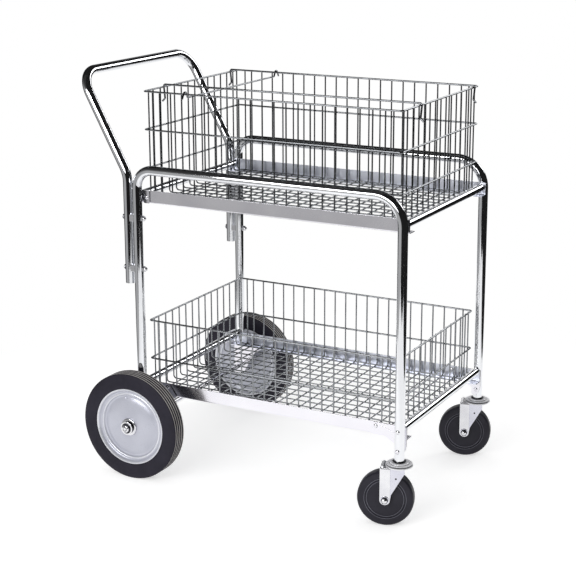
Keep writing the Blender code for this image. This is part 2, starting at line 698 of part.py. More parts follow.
def rim_line():
    """The outer face of a rim half, as (radius, distance from the wheel's middle plane)."""
    step = RIM_SHEET
    lip, out = RIM_LIP_RADIUS, RIM_LIP_OUT
    return [
        (lip, out),
        (lip - 6 * step, out - 5 * step),
        (lip - 12 * step, out - 5.6 * step),
        (lip * 0.5, out - 1.2 * step),
        (HUB_RADIUS + GAP, out + 0.2 * step),
    ]


def make_rear_wheel(side, sign):
    """A tyre, two pressed rim halves and a hub that turn together on the axle."""
    y = sign * REAR_WHEEL_OFFSET
    outward = placed(REAR_LEG_X, y, AXLE_HEIGHT, (0, sign, 0))
    inward = placed(REAR_LEG_X, y, AXLE_HEIGHT, (0, -sign, 0))
    outer_face = rim_line()
    inner_face = [(radius, out - RIM_SHEET) for radius, out in reversed(outer_face)]
    section = list(reversed(outer_face)) + list(reversed(inner_face))
    for face, matrix in {"outer": outward, "inner": inward}.items():
        rim = turned(f"rear_rim_{face}_{side}", section, RIM_SIDES, matrix, ring=True)
        add_part(rim, "silver_paint")
    add_part(turned(f"rear_tyre_{side}", tyre_section(), TYRE_SIDES, outward, ring=True), "tyre_rubber")
    leg_face = FRAME_Y + TUBE_RADIUS
    hub_in = leg_face + GAP - REAR_WHEEL_OFFSET
    bore = (AXLE_RADIUS + RUNNING_GAP) / math.cos(math.pi / HUB_SIDES)
    hub_section = [(bore, HUB_END_OUT), (HUB_RADIUS, HUB_END_OUT), (HUB_RADIUS, hub_in), (bore, hub_in)]
    add_part(turned(f"rear_hub_{side}", hub_section, HUB_SIDES, outward, ring=True), "bright_fastener")


def tyre_section():
    """The tyre's section, clockwise from its seat: outer bead, sidewall, tread, and back."""
    radius, half, seat = REAR_WHEEL_RADIUS, TYRE_HALF_WIDTH, TYRE_SEAT_RADIUS
    bead = RIM_LIP_RADIUS + 2 * GAP / math.cos(math.pi / RIM_SIDES)
    bead_out = RIM_LIP_OUT - RIM_SHEET - 2 * GAP
    wall = radius - bead
    upper = [
        (seat, bead_out * 0.45),
        (bead, bead_out - 2 * GAP),
        (bead, half),
        (bead + wall * 0.72, half),
        (radius - wall * 0.07, half * 0.80),
        (radius, half * 0.35),
    ]
    return upper + [(place, -out) for place, out in reversed(upper)]


def make_caster(side, sign):
    """A swivel caster under a front leg, turned as it stands in use."""
    y = sign * FRAME_Y
    swivel = bpy.data.objects.new(f"caster_swivel_axis_{side}", None)
    swivel.matrix_world = Matrix.Translation((FRONT_LEG_X, y, 0)) @ Matrix.Rotation(CASTER_TURN, 4, "Z")
    PARTS.objects.link(swivel)
    make_caster_mount(side, y)
    make_caster_fork(side, swivel)
    make_caster_wheel(side, swivel)


def make_caster_mount(side, y):
    """The stem in the leg and the upper raceway, which don't swivel."""
    face = CASTER_FACE_HEIGHT
    base = face - RACEWAY_NECK_HEIGHT - RACEWAY_THICKNESS
    profile = [
        (0, face + STEM_LENGTH),
        (STEM_RADIUS, face + STEM_LENGTH),
        (STEM_RADIUS, face),
        (RACEWAY_NECK_RADIUS, face),
        (RACEWAY_RADIUS * 0.84, base + RACEWAY_THICKNESS),
        (RACEWAY_RADIUS, base + RACEWAY_THICKNESS * 0.4),
        (RACEWAY_RADIUS, base),
        (0, base),
    ]
    matrix = placed(FRONT_LEG_X, y, 0)
    add_part(turned(f"caster_mount_{side}", profile, CASTER_SIDES, matrix), "bright_fastener")


def make_caster_fork(side, swivel):
    """The pressed fork: lower raceway, top plate, two cheeks and a rib down each cheek."""
    raceway_top, plate_top = FORK_RACEWAY_TOP, FORK_PLATE_TOP
    inner = CASTER_HUB_HALF_WIDTH + GAP
    outer = inner + FORK_SHEET
    axle_x, axle_z = -CASTER_TRAIL, CASTER_WHEEL_RADIUS
    back = axle_x - FORK_FOOT_RADIUS
    foot_angles = [math.pi + step * math.pi / FOOT_STEPS for step in range(FOOT_STEPS + 1)]
    foot = [
        (axle_x + FORK_FOOT_RADIUS * math.cos(angle), axle_z + FORK_FOOT_RADIUS * math.sin(angle))
        for angle in foot_angles
    ]
    sunk_top = plate_top - FORK_SHEET / 2
    cheek_outline = [(back, sunk_top), *foot, (FORK_FRONT_REACH, plate_top - FORK_SHOULDER_DROP)]
    cheek_outline.append((FORK_FRONT_REACH, sunk_top))
    rib_outline = [(back + RUNNING_GAP, sunk_top - RUNNING_GAP)]
    rib_outline += shrink(foot, (axle_x, axle_z), RUNNING_GAP)
    rib_outline.append((axle_x + FORK_FOOT_RADIUS - RUNNING_GAP, sunk_top - RUNNING_GAP))
    top_length = FORK_FRONT_REACH - back + 2 * RUNNING_GAP
    middle = (FORK_FRONT_REACH + back) / 2
    top_size = (top_length, 2 * (outer + RUNNING_GAP), FORK_SHEET)
    fork = block(f"caster_fork_{side}", top_size, placed(middle, 0, plate_top - FORK_SHEET / 2))
    add_part(fork, "bright_fastener", swivel)
    raceway_profile = [
        (0, raceway_top),
        (RACEWAY_RADIUS, raceway_top),
        (RACEWAY_RADIUS, raceway_top - RACEWAY_THICKNESS * 0.5),
        (RACEWAY_RADIUS * 0.72, sunk_top),
        (0, sunk_top),
    ]
    raceway = turned(f"raceway_{side}", raceway_profile, CASTER_SIDES, placed(0, 0, 0))
    boolean(fork, as_tool(raceway, swivel), "UNION")
    for cheek_side in (-1, 1):
        upright = Matrix.Rotation(math.pi / 2, 4, "X")
        at_cheek = Matrix.Translation((0, cheek_side * (inner + FORK_SHEET / 2), 0)) @ upright
        cheek = plate(f"cheek_{side}", cheek_outline, FORK_SHEET, at_cheek)
        boolean(fork, as_tool(cheek, swivel), "UNION")
        rib_thickness = FORK_SHEET / 2 + FORK_RIB_THICKNESS
        rib_middle = cheek_side * (inner + FORK_SHEET / 2 + rib_thickness / 2)
        at_rib = Matrix.Translation((0, rib_middle, 0)) @ upright
        rib = plate(f"rib_{side}", rib_outline, rib_thickness, at_rib)
        boolean(fork, as_tool(rib, swivel), "UNION")
    across = 2 * (outer + FORK_RIB_THICKNESS + FORK_SHEET)
    axle = placed(axle_x, 0, axle_z, (0, 1, 0))
    drill(fork, CASTER_AXLE_RADIUS + GAP, across, axle, swivel)


def shrink(points, centre, amount):
    """The points of an outline moved towards a centre by an amount."""
    middle = Vector(centre)
    moved = []
    for point in points:
        arm = Vector(point) - middle
        moved.append(tuple(middle + arm * (1 - amount / arm.length)))
    return moved


def make_caster_wheel(side, swivel):
    """The caster's wheel and its axle bolt with nut."""
    radius, half = CASTER_WHEEL_RADIUS, CASTER_WHEEL_HALF_WIDTH
    groove, width, depth = CASTER_GROOVE_RADIUS, CASTER_GROOVE_WIDTH, CASTER_GROOVE_DEPTH
    bore = (CASTER_AXLE_RADIUS + RUNNING_GAP) / math.cos(math.pi / CASTER_SIDES)
    upper = [
        (bore, CASTER_HUB_HALF_WIDTH),
        (CASTER_HUB_RADIUS, CASTER_HUB_HALF_WIDTH),
        (CASTER_HUB_RADIUS, half - depth),
        (groove, half - 2 * depth),
        (groove + width, half),
        (radius - CASTER_TREAD_ROUNDING, half),
        (radius, half - CASTER_TREAD_ROUNDING),
    ]
    section = upper + [(place, -out) for place, out in reversed(upper)]
    axle = placed(-CASTER_TRAIL, 0, CASTER_WHEEL_RADIUS, (0, 1, 0))
    wheel = turned(f"caster_wheel_{side}", section, CASTER_SIDES, axle, ring=True)
    add_part(wheel, "caster_rubber", swivel)
    grip = CASTER_HUB_HALF_WIDTH + GAP + FORK_SHEET + FORK_RIB_THICKNESS + GAP
    head, thick = CASTER_AXLE_HEAD_RADIUS, CASTER_AXLE_HEAD_THICKNESS
    outer = [(0, grip + thick), (head * 0.8, grip + thick), (head, grip + thick * 0.8), (head, grip)]
    outer.append((CASTER_AXLE_RADIUS, grip))
    profile = outer + [(place, -out) for place, out in reversed(outer)]
    bolt = turned(f"caster_axle_{side}", profile, SMALL_SIDES, axle)
    add_part(bolt, "bright_fastener", swivel)


def wire_places(pitch, count):
    """Where a set of U wires stands: even places about the middle, and one closer wire at each end."""
    even = [(index - (count - 1) / 2) * pitch for index in range(count)]
    end = even[-1] + END_WIRE_PITCH_SHARE * pitch
    return [-end, *even, end]


def make_ring(name, height, near_y, far_y, rear_x, front_x):
    """A rectangular hoop of wire with small round corners."""
    corners = [(rear_x, near_y), (front_x, near_y), (front_x, far_y), (rear_x, far_y)]
    points = []
    for index, corner in enumerate(corners):
        before, after = corners[index - 1], corners[(index + 1) % len(corners)]
        bend = rounded([(*before, height), (*corner, height), (*after, height)], RING_CORNER, WIRE_BEND_STEPS)
        points += bend[1:-1]
    return tube(name, points, RING_WIRE_RADIUS, WIRE_BEVEL_RESOLUTION, closed=True)


def make_basket(name, rim_height, ring_drops, ledge_height):
    """A welded wire basket: a rim, lower rings and two crossing sets of U wires."""
    half_length, half_width = BASKET_LENGTH / 2, BASKET_WIDTH / 2
    beside = RING_WIRE_RADIUS + WIRE_RADIUS
    free = beside + GAP
    welded = beside - WELD_DEPTH
    rim_in = WELD_DEPTH + GAP
    front, rear = MIDDLE_X + half_length, MIDDLE_X - half_length
    rim = make_ring(name, rim_height, rim_in - half_width, half_width, rear + rim_in, front)
    add_part(rim, "zinc_wire")
    wires = bpy.data.collections.new(f"{name}_wires")
    TOOLS.children.link(wires)
    pieces = []
    for index, drop in enumerate(ring_drops):
        ring = make_ring(f"{name}_ring_{index}", rim_height - drop, -half_width, half_width, rear, front)
        pieces.append(ring)
    wide_floor = ledge_height + GAP + WIRE_RADIUS
    places = wire_places(LONG_PITCH, LONG_COUNT)
    for index, offset in enumerate(places):
        inset = welded if index in (0, len(places) - 1) else free
        x, y = MIDDLE_X + offset, half_width - inset
        corners = [(x, -y, rim_height), (x, -y, wide_floor), (x, y, wide_floor), (x, y, rim_height)]
        path = rounded(corners, WIRE_CORNER, WIRE_BEND_STEPS)
        pieces.append(tube(f"{name}_wide_{index}", path, WIRE_RADIUS, WIRE_BEVEL_RESOLUTION))
    long_floor = wide_floor + 2 * WIRE_RADIUS + GAP
    for index, y in enumerate(wire_places(WIDE_PITCH, WIDE_COUNT)):
        low, high = rear + free, front - free
        corners = [(low, y, rim_height), (low, y, long_floor), (high, y, long_floor), (high, y, rim_height)]
        path = rounded(corners, WIRE_CORNER, WIRE_BEND_STEPS)
        pieces.append(tube(f"{name}_long_{index}", path, WIRE_RADIUS, WIRE_BEVEL_RESOLUTION))
    for piece in pieces:
        wires.objects.link(piece)
        piece.hide_render = True
        piece.display_type = "WIRE"
    join_all(rim, wires)


def make_hanging_rail(side, y):
    """A file rail: a wire that lies on both end rims, with its ends bent down outside them."""
    reach = BASKET_LENGTH / 2 + RING_WIRE_RADIUS + GAP + RAIL_WIRE_RADIUS
    top = UPPER_RIM_HEIGHT + RING_WIRE_RADIUS + GAP + RAIL_WIRE_RADIUS
    foot = top - RAIL_DROP
    corners = [
        (MIDDLE_X - reach - RAIL_TIP, y, foot - RAIL_TIP / 2),
        (MIDDLE_X - reach, y, foot),
        (MIDDLE_X - reach, y, top),
        (MIDDLE_X + reach, y, top),
        (MIDDLE_X + reach, y, foot),
        (MIDDLE_X + reach + RAIL_TIP, y, foot - RAIL_TIP / 2),
    ]
    bends = (RAIL_WIRE_RADIUS, 2 * RAIL_WIRE_RADIUS, 2 * RAIL_WIRE_RADIUS, RAIL_WIRE_RADIUS)
    path = rounded(corners, bends, WIRE_BEND_STEPS + 1)
    add_part(tube(f"hanging_rail_{side}", path, RAIL_WIRE_RADIUS, WIRE_BEVEL_RESOLUTION), "zinc_wire")


def make_cross_wire():
    """The wire that hooks over both long rims of the upper basket and hangs below the file rails."""
    x = MIDDLE_X - BASKET_LENGTH / 2 + CROSS_WIRE_INSET
    rim_y = BASKET_WIDTH / 2
    peak = UPPER_RIM_HEIGHT + RING_WIRE_RADIUS + GAP + CROSS_WIRE_RADIUS
    low = UPPER_RIM_HEIGHT - CROSS_WIRE_SAG
    half = [
        (rim_y + HOOK_OUTER_REACH, peak - HOOK_OUTER_DROP),
        (rim_y + CROSS_WIRE_RADIUS, peak),
        (rim_y - HOOK_FLAT, peak),
        (rim_y - HOOK_INNER_REACH, low),
    ]
    corners = [(x, -y, z) for y, z in half] + [(x, y, z) for y, z in reversed(half)]
    path = rounded(corners, CROSS_WIRE_RADIUS, WIRE_BEND_STEPS)
    add_part(tube("cross_wire", path, CROSS_WIRE_RADIUS, WIRE_BEVEL_RESOLUTION), "zinc_wire")


clear_scene()
PARTS = make_collection(OBJECT_NAME)
TOOLS = make_collection("cutters")
TOOLS.hide_render = True

make_handle()
make_handle_fixings()
make_shelf("upper", UPPER_SHELF_HEIGHT, UPPER_ANGLE_Y)
make_shelf("lower", LOWER_SHELF_HEIGHT, LOWER_ANGLE_Y)
make_axle()
for side_name, side_sign in SIDES.items():
    make_side_frame(side_name, side_sign)
    make_front_gusset(side_name, side_sign)
    make_axle_plate(side_name, side_sign)
    make_corner_plate(side_name, side_sign)
    make_rivets(side_name, side_sign)
    make_axle_cap(side_name, side_sign)
    make_rear_wheel(side_name, side_sign)
    make_caster(side_name, side_sign)
make_basket("upper_basket", UPPER_RIM_HEIGHT, UPPER_RING_DROPS, UPPER_SHELF_HEIGHT + ANGLE_THICKNESS)
make_basket("lower_basket", LOWER_RIM_HEIGHT, LOWER_RING_DROPS, LOWER_SHELF_HEIGHT + ANGLE_THICKNESS)
make_hanging_rail("near", NEAR_RAIL_INSET - BASKET_WIDTH / 2)
make_hanging_rail("far", BASKET_WIDTH / 2 - FAR_RAIL_INSET)
make_cross_wire()
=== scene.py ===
"""Dresses a wire mail cart: a bent chrome tube frame, two wire baskets, a push handle, wheels and casters.

Every piece stands in the same frame as the solid model, in metres: +X from the handle to the casters, +Y away
from the near side, +Z up from the floor.
"""

import logging
import math
from dataclasses import dataclass, field
from enum import Enum
from typing import Callable, NamedTuple, Optional, Sequence

import bmesh
import bpy
from mathutils import Matrix, Vector


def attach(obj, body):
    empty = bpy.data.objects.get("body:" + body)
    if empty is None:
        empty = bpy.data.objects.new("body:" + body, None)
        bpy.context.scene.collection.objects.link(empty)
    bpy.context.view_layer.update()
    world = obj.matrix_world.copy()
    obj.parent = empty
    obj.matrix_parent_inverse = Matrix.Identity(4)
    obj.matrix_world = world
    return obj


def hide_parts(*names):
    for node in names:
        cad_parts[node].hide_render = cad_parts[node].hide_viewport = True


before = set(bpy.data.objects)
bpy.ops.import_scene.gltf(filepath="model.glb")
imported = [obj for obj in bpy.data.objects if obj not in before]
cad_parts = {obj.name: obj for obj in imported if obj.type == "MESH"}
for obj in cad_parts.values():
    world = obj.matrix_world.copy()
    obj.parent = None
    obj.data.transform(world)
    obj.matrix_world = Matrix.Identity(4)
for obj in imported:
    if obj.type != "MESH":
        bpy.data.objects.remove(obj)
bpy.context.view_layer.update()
LOG = logging.getLogger("mail_cart")
Point = tuple[float, float, float]
Profile = Sequence[tuple[float, float]]

# How finely shapes are cut
MERGE_DISTANCE = 0.000005
TUBE_SIDES = 40
TUBE_STEPS = 16
SENSOR_WIDTH = 36

# How far a face's normal leans before it counts as a cut one
END_LEAN = 0.6
RIM_LEAN = 0.8


class Side(Enum):
    """The two long sides of the cart."""

    NEAR = -1
    FAR = 1

    @property
    def word(self) -> str:
        """The side's name in the names of pieces."""
        return self.name.lower()


class Body(Enum):
    """The moving bodies that pieces ride on; wheels and casters add their side."""

    FRAME = "frame"
    REAR_WHEEL = "rear_wheel"
    CASTER_SWIVEL = "caster_swivel"
    CASTER_ROLLER = "caster_roller"
    UPPER_BASKET = "upper_basket"
    LOWER_BASKET = "lower_basket"
    CROSS_WIRE = "cross_wire"
    HANGING_RAIL = "hanging_rail"

    def on(self, side: Side) -> str:
        """The body's name on one side of the cart."""
        return f"{self.value}_{side.word}"


@dataclass(frozen=True)
class CartSizes:
    """The main sizes of the cart, in metres, that more than one sub-assembly needs."""

    wheelbase: float = 0.660
    frame_spacing: float = 0.457
    tube_radius: float = 0.0111
    handle_setback: float = 0.0250
    handle_bend_height: float = 0.712
    handle_top_height: float = 0.938
    handle_lean: float = math.radians(28.5)
    raceway_radius: float = 0.030
    axle_height: float = 0.127
    front_leg_end: float = 0.148
    upper_shelf: float = 0.6475
    lower_shelf: float = 0.191
    angle_height: float = 0.030
    sheet: float = 0.002
    gap: float = 0.0003

    @property
    def handle_reach(self) -> float:
        """How far the crossbar's middle lies behind the handle's stubs."""
        return (self.handle_top_height - self.handle_bend_height) * math.tan(self.handle_lean)

    @property
    def rear_x(self) -> float:
        """The rear legs' middle."""
        overhang = self.handle_setback + self.handle_reach + self.tube_radius
        return (overhang - self.wheelbase - self.raceway_radius) / 2

    @property
    def front_x(self) -> float:
        """The front legs' middle."""
        return self.rear_x + self.wheelbase

    @property
    def middle_x(self) -> float:
        """The middle between the front and rear legs."""
        return self.rear_x + self.wheelbase / 2

    @property
    def handle_x(self) -> float:
        """The middle of the handle's stubs."""
        return self.rear_x - self.handle_setback

    @property
    def leg_y(self) -> float:
        """The legs' distance from the cart's middle."""
        return self.frame_spacing / 2

    @property
    def plate_face(self) -> float:
        """The outer face of the plates that lie against the legs' inner side."""
        return self.leg_y - self.tube_radius - self.gap

    @property
    def lower_angle_face(self) -> float:
        """The outer face of the lower shelf angles, inside the plates."""
        return self.plate_face - self.sheet - self.gap


CART = CartSizes()


def put_everything_down() -> None:
    """Leave edit mode and deselect every object."""
    if bpy.context.object is not None and bpy.context.object.mode != "OBJECT":
        bpy.ops.object.mode_set(mode="OBJECT")
    bpy.ops.object.select_all(action="DESELECT")


def pick(*pieces: bpy.types.Object) -> None:
    """Select only the given pieces, the last one active."""
    put_everything_down()
    for piece in pieces:
        piece.select_set(True)
    bpy.context.view_layer.objects.active = pieces[-1]


def fix_place(piece: bpy.types.Object) -> None:
    """Put a piece's place, turn and scale into its mesh."""
    pick(piece)
    bpy.ops.object.transform_apply(location=True, rotation=True, scale=True)


def apply_modifiers(piece: bpy.types.Object) -> None:
    """Apply every modifier of a piece, in order."""
    pick(piece)
    for modifier in list(piece.modifiers):
        bpy.ops.object.modifier_apply(modifier=modifier.name)


def smooth(piece: bpy.types.Object, degrees: float = 35.0) -> bpy.types.Object:
    """Shade a piece smooth, with sharp edges past an angle.

    Args:
        piece: The piece to shade.
        degrees: The angle between faces from which an edge stays sharp.

    Returns:
        The same piece.
    """
    pick(piece)
    bpy.ops.object.shade_smooth_by_angle(angle=math.radians(degrees))
    level = piece.modifiers.new("level_faces", "WEIGHTED_NORMAL")
    level.keep_sharp = True
    apply_modifiers(piece)
    return piece


def soften_edges(piece: bpy.types.Object, width: float = 0.0004, segments: int = 2) -> bpy.types.Object:
    """Round a piece's sharp edges, as a press or a file leaves them.

    Args:
        piece: The piece whose edges are rounded.
        width: The width of the rounding, in metres.
        segments: How many faces the rounding has.

    Returns:
        The same piece.
    """
    bevel = piece.modifiers.new("softened", "BEVEL")
    bevel.width = width
    bevel.segments = segments
    bevel.limit_method = "ANGLE"
    bevel.angle_limit = math.radians(40)
    apply_modifiers(piece)
    return piece


def drill(piece: bpy.types.Object, radius: float, depth: float, place: Matrix) -> None:
    """Cut a round hole into a piece with a cylinder that is then thrown away.

    Args:
        piece: The piece to drill.
        radius: The hole's radius.
        depth: The cutter's length, centred on its place.
        place: Where the cutter's middle is, with its axis along local Z.
    """
    put_everything_down()
    bpy.ops.mesh.primitive_cylinder_add(vertices=24, radius=radius, depth=depth)
    cutter = bpy.context.object
    cutter.matrix_world = place
    fix_place(cutter)
    cut = piece.modifiers.new("drilled", "BOOLEAN")
    cut.operation = "DIFFERENCE"
    cut.solver = "EXACT"
    cut.object = cutter
    apply_modifiers(piece)
    bpy.data.objects.remove(cutter, do_unlink=True)


def rename(piece: bpy.types.Object, name: str) -> None:
    """Name a piece and its mesh."""
    piece.name = piece.data.name = name


def copy_of(piece: bpy.types.Object, name: str, place: Matrix) -> bpy.types.Object:
    """Copy a piece with a mesh of its own and move the mesh.

    Args:
        piece: The piece to copy.
        name: The copy's name.
        place: The move that the copy's mesh gets.

    Returns:
        The copy.
    """
    twin = piece.copy()
    twin.data = piece.data.copy()
    rename(twin, name)
    twin.data.transform(place)
    bpy.context.collection.objects.link(twin)
    return twin


def join(name: str, pieces: Sequence[bpy.types.Object]) -> bpy.types.Object:
    """Join pieces that are welded or pressed together.

    Args:
        name: The joined piece's name.
        pieces: The pieces; the last one takes the others in.

    Returns:
        The joined piece.
    """
    pick(*pieces)
    if len(pieces) > 1:
        bpy.ops.object.join()
    joined = bpy.context.object
    rename(joined, name)
    return joined


def facing(x: float, y: float, z: float, direction: Point = (0, 0, 1)) -> Matrix:
    """A place whose local Z axis points along a direction."""
    turn = Vector((0, 0, 1)).rotation_difference(Vector(direction)).to_matrix().to_4x4()
    return Matrix.Translation((x, y, z)) @ turn


def upright(y: float) -> Matrix:
    """A place that stands a flat outline up along the cart, its thickness going towards -Y."""
    return Matrix.Translation((0, y, 0)) @ Matrix.Rotation(math.pi / 2, 4, "X")


def start_line(first: Sequence[float]) -> None:
    """Add one vertex at a point, in edit mode, to extrude a line from."""
    put_everything_down()
    bpy.ops.mesh.primitive_plane_add(size=0.001)
    bpy.ops.object.mode_set(mode="EDIT")
    bpy.ops.mesh.select_all(action="SELECT")
    bpy.ops.mesh.merge(type="CENTER")
    bpy.ops.transform.translate(value=tuple(first))


def extrude_by(move: Sequence[float]) -> None:
    """Extrude what is selected by a vector."""
    bpy.ops.mesh.extrude_region_move(TRANSFORM_OT_translate={"value": tuple(move)})


def draw_line(points: Sequence[Sequence[float]]) -> None:
    """Extrude a chain of edges through points, from a new vertex, and stay in edit mode."""
    line = [Vector(point) for point in points]
    start_line(line[0])
    for before, after in zip(line, line[1:]):
        extrude_by(after - before)


def merge_and_face_outward() -> None:
    """Merge doubled vertices and turn every face outward, in edit mode."""
    bpy.ops.mesh.select_all(action="SELECT")
    bpy.ops.mesh.remove_doubles(threshold=MERGE_DISTANCE)
    bpy.ops.mesh.normals_make_consistent(inside=False)


def finish_mesh(name: str, place: Optional[Matrix] = None) -> bpy.types.Object:
    """Clean the mesh in edit mode, leave it, and name and place the piece."""
    merge_and_face_outward()
    bpy.ops.object.mode_set(mode="OBJECT")
    piece = bpy.context.object
    rename(piece, name)
    if place is not None:
        piece.matrix_world = place
        fix_place(piece)
    return piece


def select_vertices(test: Callable[[Vector], bool]) -> None:
    """Select the active mesh's vertices whose place passes a test, in edit mode."""
    bpy.ops.mesh.select_all(action="DESELECT")
    shape = bmesh.from_edit_mesh(bpy.context.object.data)
    for vertex in shape.verts:
        vertex.select = test(vertex.co)
    shape.select_flush(True)
    bmesh.update_edit_mesh(bpy.context.object.data)


@dataclass
class BentBar:
    """A round bar or tube bent along straight runs and arcs."""

    name: str
    corners: Sequence[Point]
    bends: Sequence[float]
    radius: float
    sides: int = 24
    steps: int = 8
    wall: float = 0.0
    closed: bool = False

    def build(self) -> bpy.types.Object:
        """Extrude a circle along the runs and spin it round each bend.

        Returns:
            The bar: solid, or hollow with open ends where it has a wall.
        """
        corners = [Vector(corner) for corner in self.corners]
        first = (corners[1] - corners[0]).normalized()
        put_everything_down()
        bpy.ops.mesh.primitive_circle_add(vertices=self.sides, radius=self.radius, fill_type="NOTHING")
        bar = bpy.context.object
        rename(bar, self.name)
        bar.matrix_world = facing(*corners[0], tuple(first))
        fix_place(bar)
        bpy.ops.object.mode_set(mode="EDIT")
        bpy.ops.mesh.select_all(action="SELECT")
        here = corners[0]
        for before, corner, after, bend in zip(corners, corners[1:], corners[2:], self.bends):
            here = self._run_and_bend(here, before, corner, after, bend)
        extrude_by(corners[-1] - here)
        if not self.closed and not self.wall:
            bpy.ops.mesh.select_all(action="SELECT")
            bpy.ops.mesh.fill_holes(sides=0)
        merge_and_face_outward()
        bpy.ops.object.mode_set(mode="OBJECT")
        if self.wall:
            shell = bar.modifiers.new("wall", "SOLIDIFY")
            shell.thickness = self.wall
            shell.offset = -1
            apply_modifiers(bar)
        return smooth(bar, 45)

    def _run_and_bend(
        self, here: Vector, before: Vector, corner: Vector, after: Vector, bend: float
    ) -> Vector:
        """Extrude to where a bend starts and spin round it.

        Args:
            here: Where the bar has got to.
            before: The corner before this one.
            corner: The corner that the bend rounds.
            after: The corner after it.
            bend: The bend's radius, at the bar's middle.

        Returns:
            Where the bar has got to after the bend.
        """
        inward = (corner - before).normalized()
        outward = (after - corner).normalized()
        angle = inward.angle(outward)
        reach = bend * math.tan(angle / 2)
        start = corner - inward * reach
        extrude_by(start - here)
        across = (outward - inward * outward.dot(inward)).normalized()
        axis = inward.cross(outward).normalized()
        steps = max(2, round(self.steps * angle / (math.pi / 2)))
        bpy.ops.mesh.spin(steps=steps, angle=-angle, center=tuple(start + across * bend), axis=tuple(axis))
        return corner + outward * reach


def turn_piece(
    name: str, profile: Profile, place: Matrix, sides: int = 32, ring: bool = False
) -> bpy.types.Object:
    """Turn a piece on a lathe: draw its profile and spin it a full turn.

    Args:
        name: The piece's name.
        profile: (radius, height) points along the profile.
        place: Where the local Z axis, the lathe's axis, goes.
        sides: How many faces go round.
        ring: Whether the profile closes on itself, as a tyre's section does.

    Returns:
        The turned piece.
    """
    points = [(radius, 0.0, height) for radius, height in profile]
    draw_line(points + points[:1] if ring else points)
    bpy.ops.mesh.select_all(action="SELECT")
    bpy.ops.mesh.spin(steps=sides, angle=2 * math.pi, center=(0, 0, 0), axis=(0, 0, 1))
    return smooth(finish_mesh(name, place))


def cut_plate(
    name: str, outline: Profile, thickness: float, place: Matrix, corner: float = 0.0, edge: float = 0.0003
) -> bpy.types.Object:
    """Cut a flat plate from sheet.

    Args:
        name: The plate's name.
        outline: (x, y) points round the plate, in its own plane.
        thickness: The sheet's thickness, which goes up from the plane.
        place: Where the plate's own axes go.
        corner: The radius of its corners, or nothing for sharp ones.
        edge: The rounding of its cut edges, or nothing for sharp ones.

    Returns:
        The plate.
    """
    points = [(x, y, 0.0) for x, y in outline]
    draw_line(points + points[:1])
    bpy.ops.mesh.select_all(action="SELECT")
    bpy.ops.mesh.remove_doubles(threshold=MERGE_DISTANCE)
    if corner:
        bpy.ops.mesh.bevel(offset=corner, segments=4, affect="VERTICES")
    bpy.ops.mesh.select_all(action="SELECT")
    bpy.ops.mesh.edge_face_add()
    extrude_by((0, 0, thickness))
    plate = finish_mesh(name, place)
    if edge:
        soften_edges(plate, edge)
    return smooth(plate)


def fold_sheet(
    name: str, section: Profile, fold: float, start_x: float, length: float, sheet: float
) -> bpy.types.Object:
    """Fold a long strip of sheet to a section and give it its thickness.

    Args:
        name: The strip's name.
        section: (y, z) points along the sheet's middle, across the strip.
        fold: The radius of every fold.
        start_x: Where the strip begins along the cart.
        length: The strip's length.
        sheet: The sheet's thickness.

    Returns:
        The folded strip.
    """
    draw_line([(start_x, y, z) for y, z in section])
    ends = [Vector((start_x, *section[0])), Vector((start_x, *section[-1]))]
    select_vertices(lambda place: all((place - end).length > fold / 10 for end in ends))
    bpy.ops.mesh.bevel(offset=fold, segments=4, affect="VERTICES")
    bpy.ops.mesh.select_all(action="SELECT")
    extrude_by((length, 0, 0))
    strip = finish_mesh(name)
    wall = strip.modifiers.new("sheet", "SOLIDIFY")
    wall.thickness = sheet
    wall.offset = 0
    apply_modifiers(strip)
    soften_edges(strip, 0.0003)
    return smooth(strip)


class NodeBench:
    """A node tree, with short ways to add nodes to it."""

    def __init__(self, tree: bpy.types.NodeTree) -> None:
        """Work on a tree."""
        self.tree = tree

    def add(
        self, kind: str, inputs: Optional[dict[str | int, object]] = None, **settings: str
    ) -> bpy.types.Node:
        """Add a node and fill its inputs.

        Args:
            kind: The node's type, without the word that all of them start with.
            inputs: A socket to link or a constant, for each input by its name or number.
            **settings: The node's own settings, such as its operation.

        Returns:
            The node.
        """
        node = self.tree.nodes.new(f"ShaderNode{kind}")
        for name, value in settings.items():
            setattr(node, name, value)
        for name, value in (inputs or {}).items():
            if isinstance(value, bpy.types.NodeSocket):
                self.tree.links.new(value, node.inputs[name])
            else:
                node.inputs[name].default_value = value
        return node

    def combine(self, operation: str, first: object, second: object) -> bpy.types.NodeSocket:
        """Combine two numbers, each a socket or a constant."""
        return self.add("Math", {0: first, 1: second}, operation=operation).outputs["Value"]

    def mix(
        self, share: bpy.types.NodeSocket, first: bpy.types.NodeSocket, second: bpy.types.NodeSocket
    ) -> bpy.types.NodeSocket:
        """Mix two shaders by the second one's share."""
        return self.add("MixShader", {"Fac": share, 1: first, 2: second}).outputs["Shader"]


